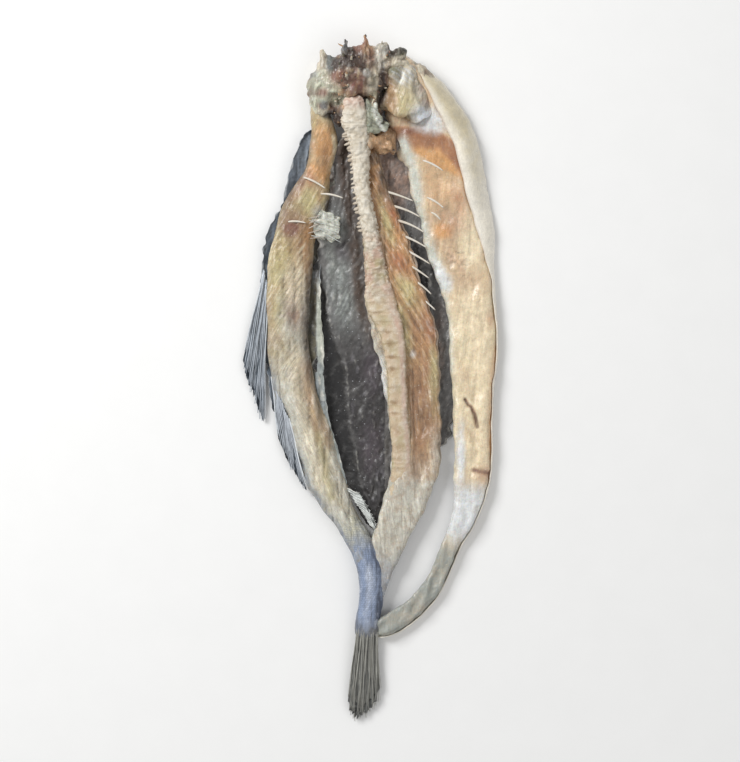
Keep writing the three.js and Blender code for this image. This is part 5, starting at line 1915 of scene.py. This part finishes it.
def loose_membrane(finish):
    """Pale scraps of membrane: from the collar down beside the backbone, and at the left flank."""
    mesh = fused(
        "membrane lumps", [lumpy_ball(*lump, i + 31) for i, lump in enumerate(MEMBRANE_LUMPS)], 0.45,
    )

    def wrinkles(verts):
        return creases(verts * [1, 1, 0] + 0.4 * verts[:, [1, 0, 2]] * [0, 1, 0], (9, 3.6, 12), 202)

    def detail(verts):
        torn = unit((140 - verts[:, 1]) / 5) * unit(rough(verts * [1, 1, 0], (6, 2.6, 9), 207) * 3)
        return (
            0.6 * rough(verts, 6, 204) + 0.1 * rough(verts, 1.6, 205) - 0.4 * wrinkles(verts) - 0.5 * torn
        )

    verts, faces, _ = displaced(mesh, detail)
    x, y = verts[:, 0], verts[:, 1]
    beside_collar = unit((y - 140) / 5)
    cloudy = unit(0.5 + 1.4 * rough(verts, 5, 206))
    ridge = unit(1 - np.abs(x - np.interp(y, [166, 170, 175, 181], [9.5, 7, 4.6, 3.6])) / 2.6)
    masks = {
        "frost_and_painted_glint": 1.4 * ridge * beside_collar + (0.4 + 0.6 * cloudy) * (1 - beside_collar),
        "olive": (
            0.8 * beside_collar + 0.5 * (1 - beside_collar) * (1 - cloudy)
        ) * (1 - ridge * beside_collar),
        # Painted shade in the wrinkles, and on the right side of the scrap by the left flank.
        "dusk": np.maximum(
            0.6 * wrinkles(verts), (1 - beside_collar) * 0.5 * unit((x + 27) / 6) * (1 - cloudy),
        ),
        "lay": lay_along(verts, -20),
    }
    return make_piece("loose_membrane", verts, faces, masks, finish)


def collar_shreds(finish, verts, normals):
    """Torn flakes and threads of dried tissue that stand out of the collar."""
    draw = np.random.default_rng(191)
    shreds = Bundle()
    able = np.flatnonzero((normals[:, 2] > -0.1) & (verts[:, 2] > 8) & (np.abs(verts[:, 0]) < 25))
    for i in draw.choice(able, 80, replace=False):
        out = normals[i] + draw.normal(0, 0.8, 3)
        out /= np.linalg.norm(out)
        root = verts[i] - normals[i] * 0.5
        length = draw.uniform(1.2, 4.2)
        tip = root + out * length
        tip[1] = min(tip[1], FLAKE_END_Y)
        tip[2] = min(tip[2], FLAKE_TOP_Z)
        width = draw.uniform(0.2, 1.0)
        path = bowed(root, tip, 9, draw.normal(0, 0.7, 3))
        radii = width * np.sin(np.linspace(1.9, 0.15, 9)) + 0.08
        tint = draw.uniform(0, 1)
        shreds.add(
            tube(path, radii, 7, flat=draw.uniform(0.25, 0.6), turn=draw.uniform(0, 3)),
            pale=float(tint > 0.72), olive=float(0.62 < tint < 0.72), ochre=float(0.4 < tint < 0.62),
            red=float(tint < 0.08), dusk=float(0.08 < tint < 0.22),
        )
    return shreds.piece("collar_shreds", finish, "collar_meat")


# The light, the floor and the camera.

def floor():
    """A plain pale floor, 6 m square."""
    mesh = bpy.data.meshes.new("floor")
    half = 3.0
    corners = [(-half, -half, 0), (half, -half, 0), (half, half, 0), (-half, half, 0)]
    mesh.from_pydata(corners, [], [(0, 1, 2, 3)])
    made = bpy.data.objects.new("floor", mesh)
    material, tree, shader = surface("pale floor")
    grain = tree.noise(tree.node("ShaderNodeTexCoord").outputs["Object"], 40.0, 3.0)
    tree.feed(shader.inputs["Base Color"], tree.mix(tone("#f6f6f5"), tone("#f2f2f1"), grain))
    shader.inputs["Roughness"].default_value = 0.9
    mesh.materials.append(material)
    bpy.context.scene.collection.objects.link(made)


def softbox(name, place, size, power):
    """A large square lamp aimed at the fish."""
    lamp = bpy.data.lights.new(name, "AREA")
    lamp.shape = "SQUARE"
    lamp.size = size
    lamp.energy = power
    made = bpy.data.objects.new(name, lamp)
    made.location = place
    made.rotation_euler = (-Vector(place)).to_track_quat("-Z", "Y").to_euler()
    bpy.context.scene.collection.objects.link(made)


def light():
    softbox("window", (-0.95, 0.75, 1.05), 0.7, 21)
    softbox("fill", (1.0, -0.6, 1.4), 1.3, 6)
    world = bpy.data.worlds.new("studio")
    world.use_nodes = True
    background = world.node_tree.nodes["Background"]
    background.inputs["Color"].default_value = (1, 1, 1, 1)
    background.inputs["Strength"].default_value = 0.4
    bpy.context.scene.world = world
    bpy.context.scene.view_settings.view_transform = "Standard"


def camera():
    """Straight above the fish, far enough for a flat view, with the collar up in the picture."""
    lens = bpy.data.cameras.new("camera")
    lens.lens = 100
    lens.sensor_width = 36
    made = bpy.data.objects.new("camera", lens)
    view_height = 0.515
    made.location = (0.0, 0.0, view_height * lens.lens / lens.sensor_width)
    bpy.context.scene.collection.objects.link(made)
    bpy.context.scene.camera = made


# The whole fish.

def dried_fish():
    skin = flank_skin_finish()
    bone = backbone_finish()
    white_bone = bone_finish("thin bones", "#f4f1e8", "#e4dccb", "#c49a63")
    collar = collar_finish()
    left_flank_skin(skin)
    left_flank_flesh(left_flesh_finish())
    right_flank_skin(skin)
    right_flank_flesh(right_flesh_finish())
    back_lining(lining_finish())
    rib_fan_flesh(centre_flesh_finish())
    backbone(bone)
    spine_stubs(bone)
    rib_bones(white_bone)
    flank_bones(white_bone)
    tissue_threads(bone_finish("tissue threads", "#e2e6e3", "#bcc3c0"))
    peduncle(peduncle_finish())
    for form, colours in FINS:
        fin(*form, fin_finish(*colours))
    verts, normals = collar_meat(collar)
    shoulder_girdle(girdle_finish())
    loose_membrane(membrane_finish())
    collar_shreds(collar, verts, normals)


camera()
light()
floor()
dried_fish()
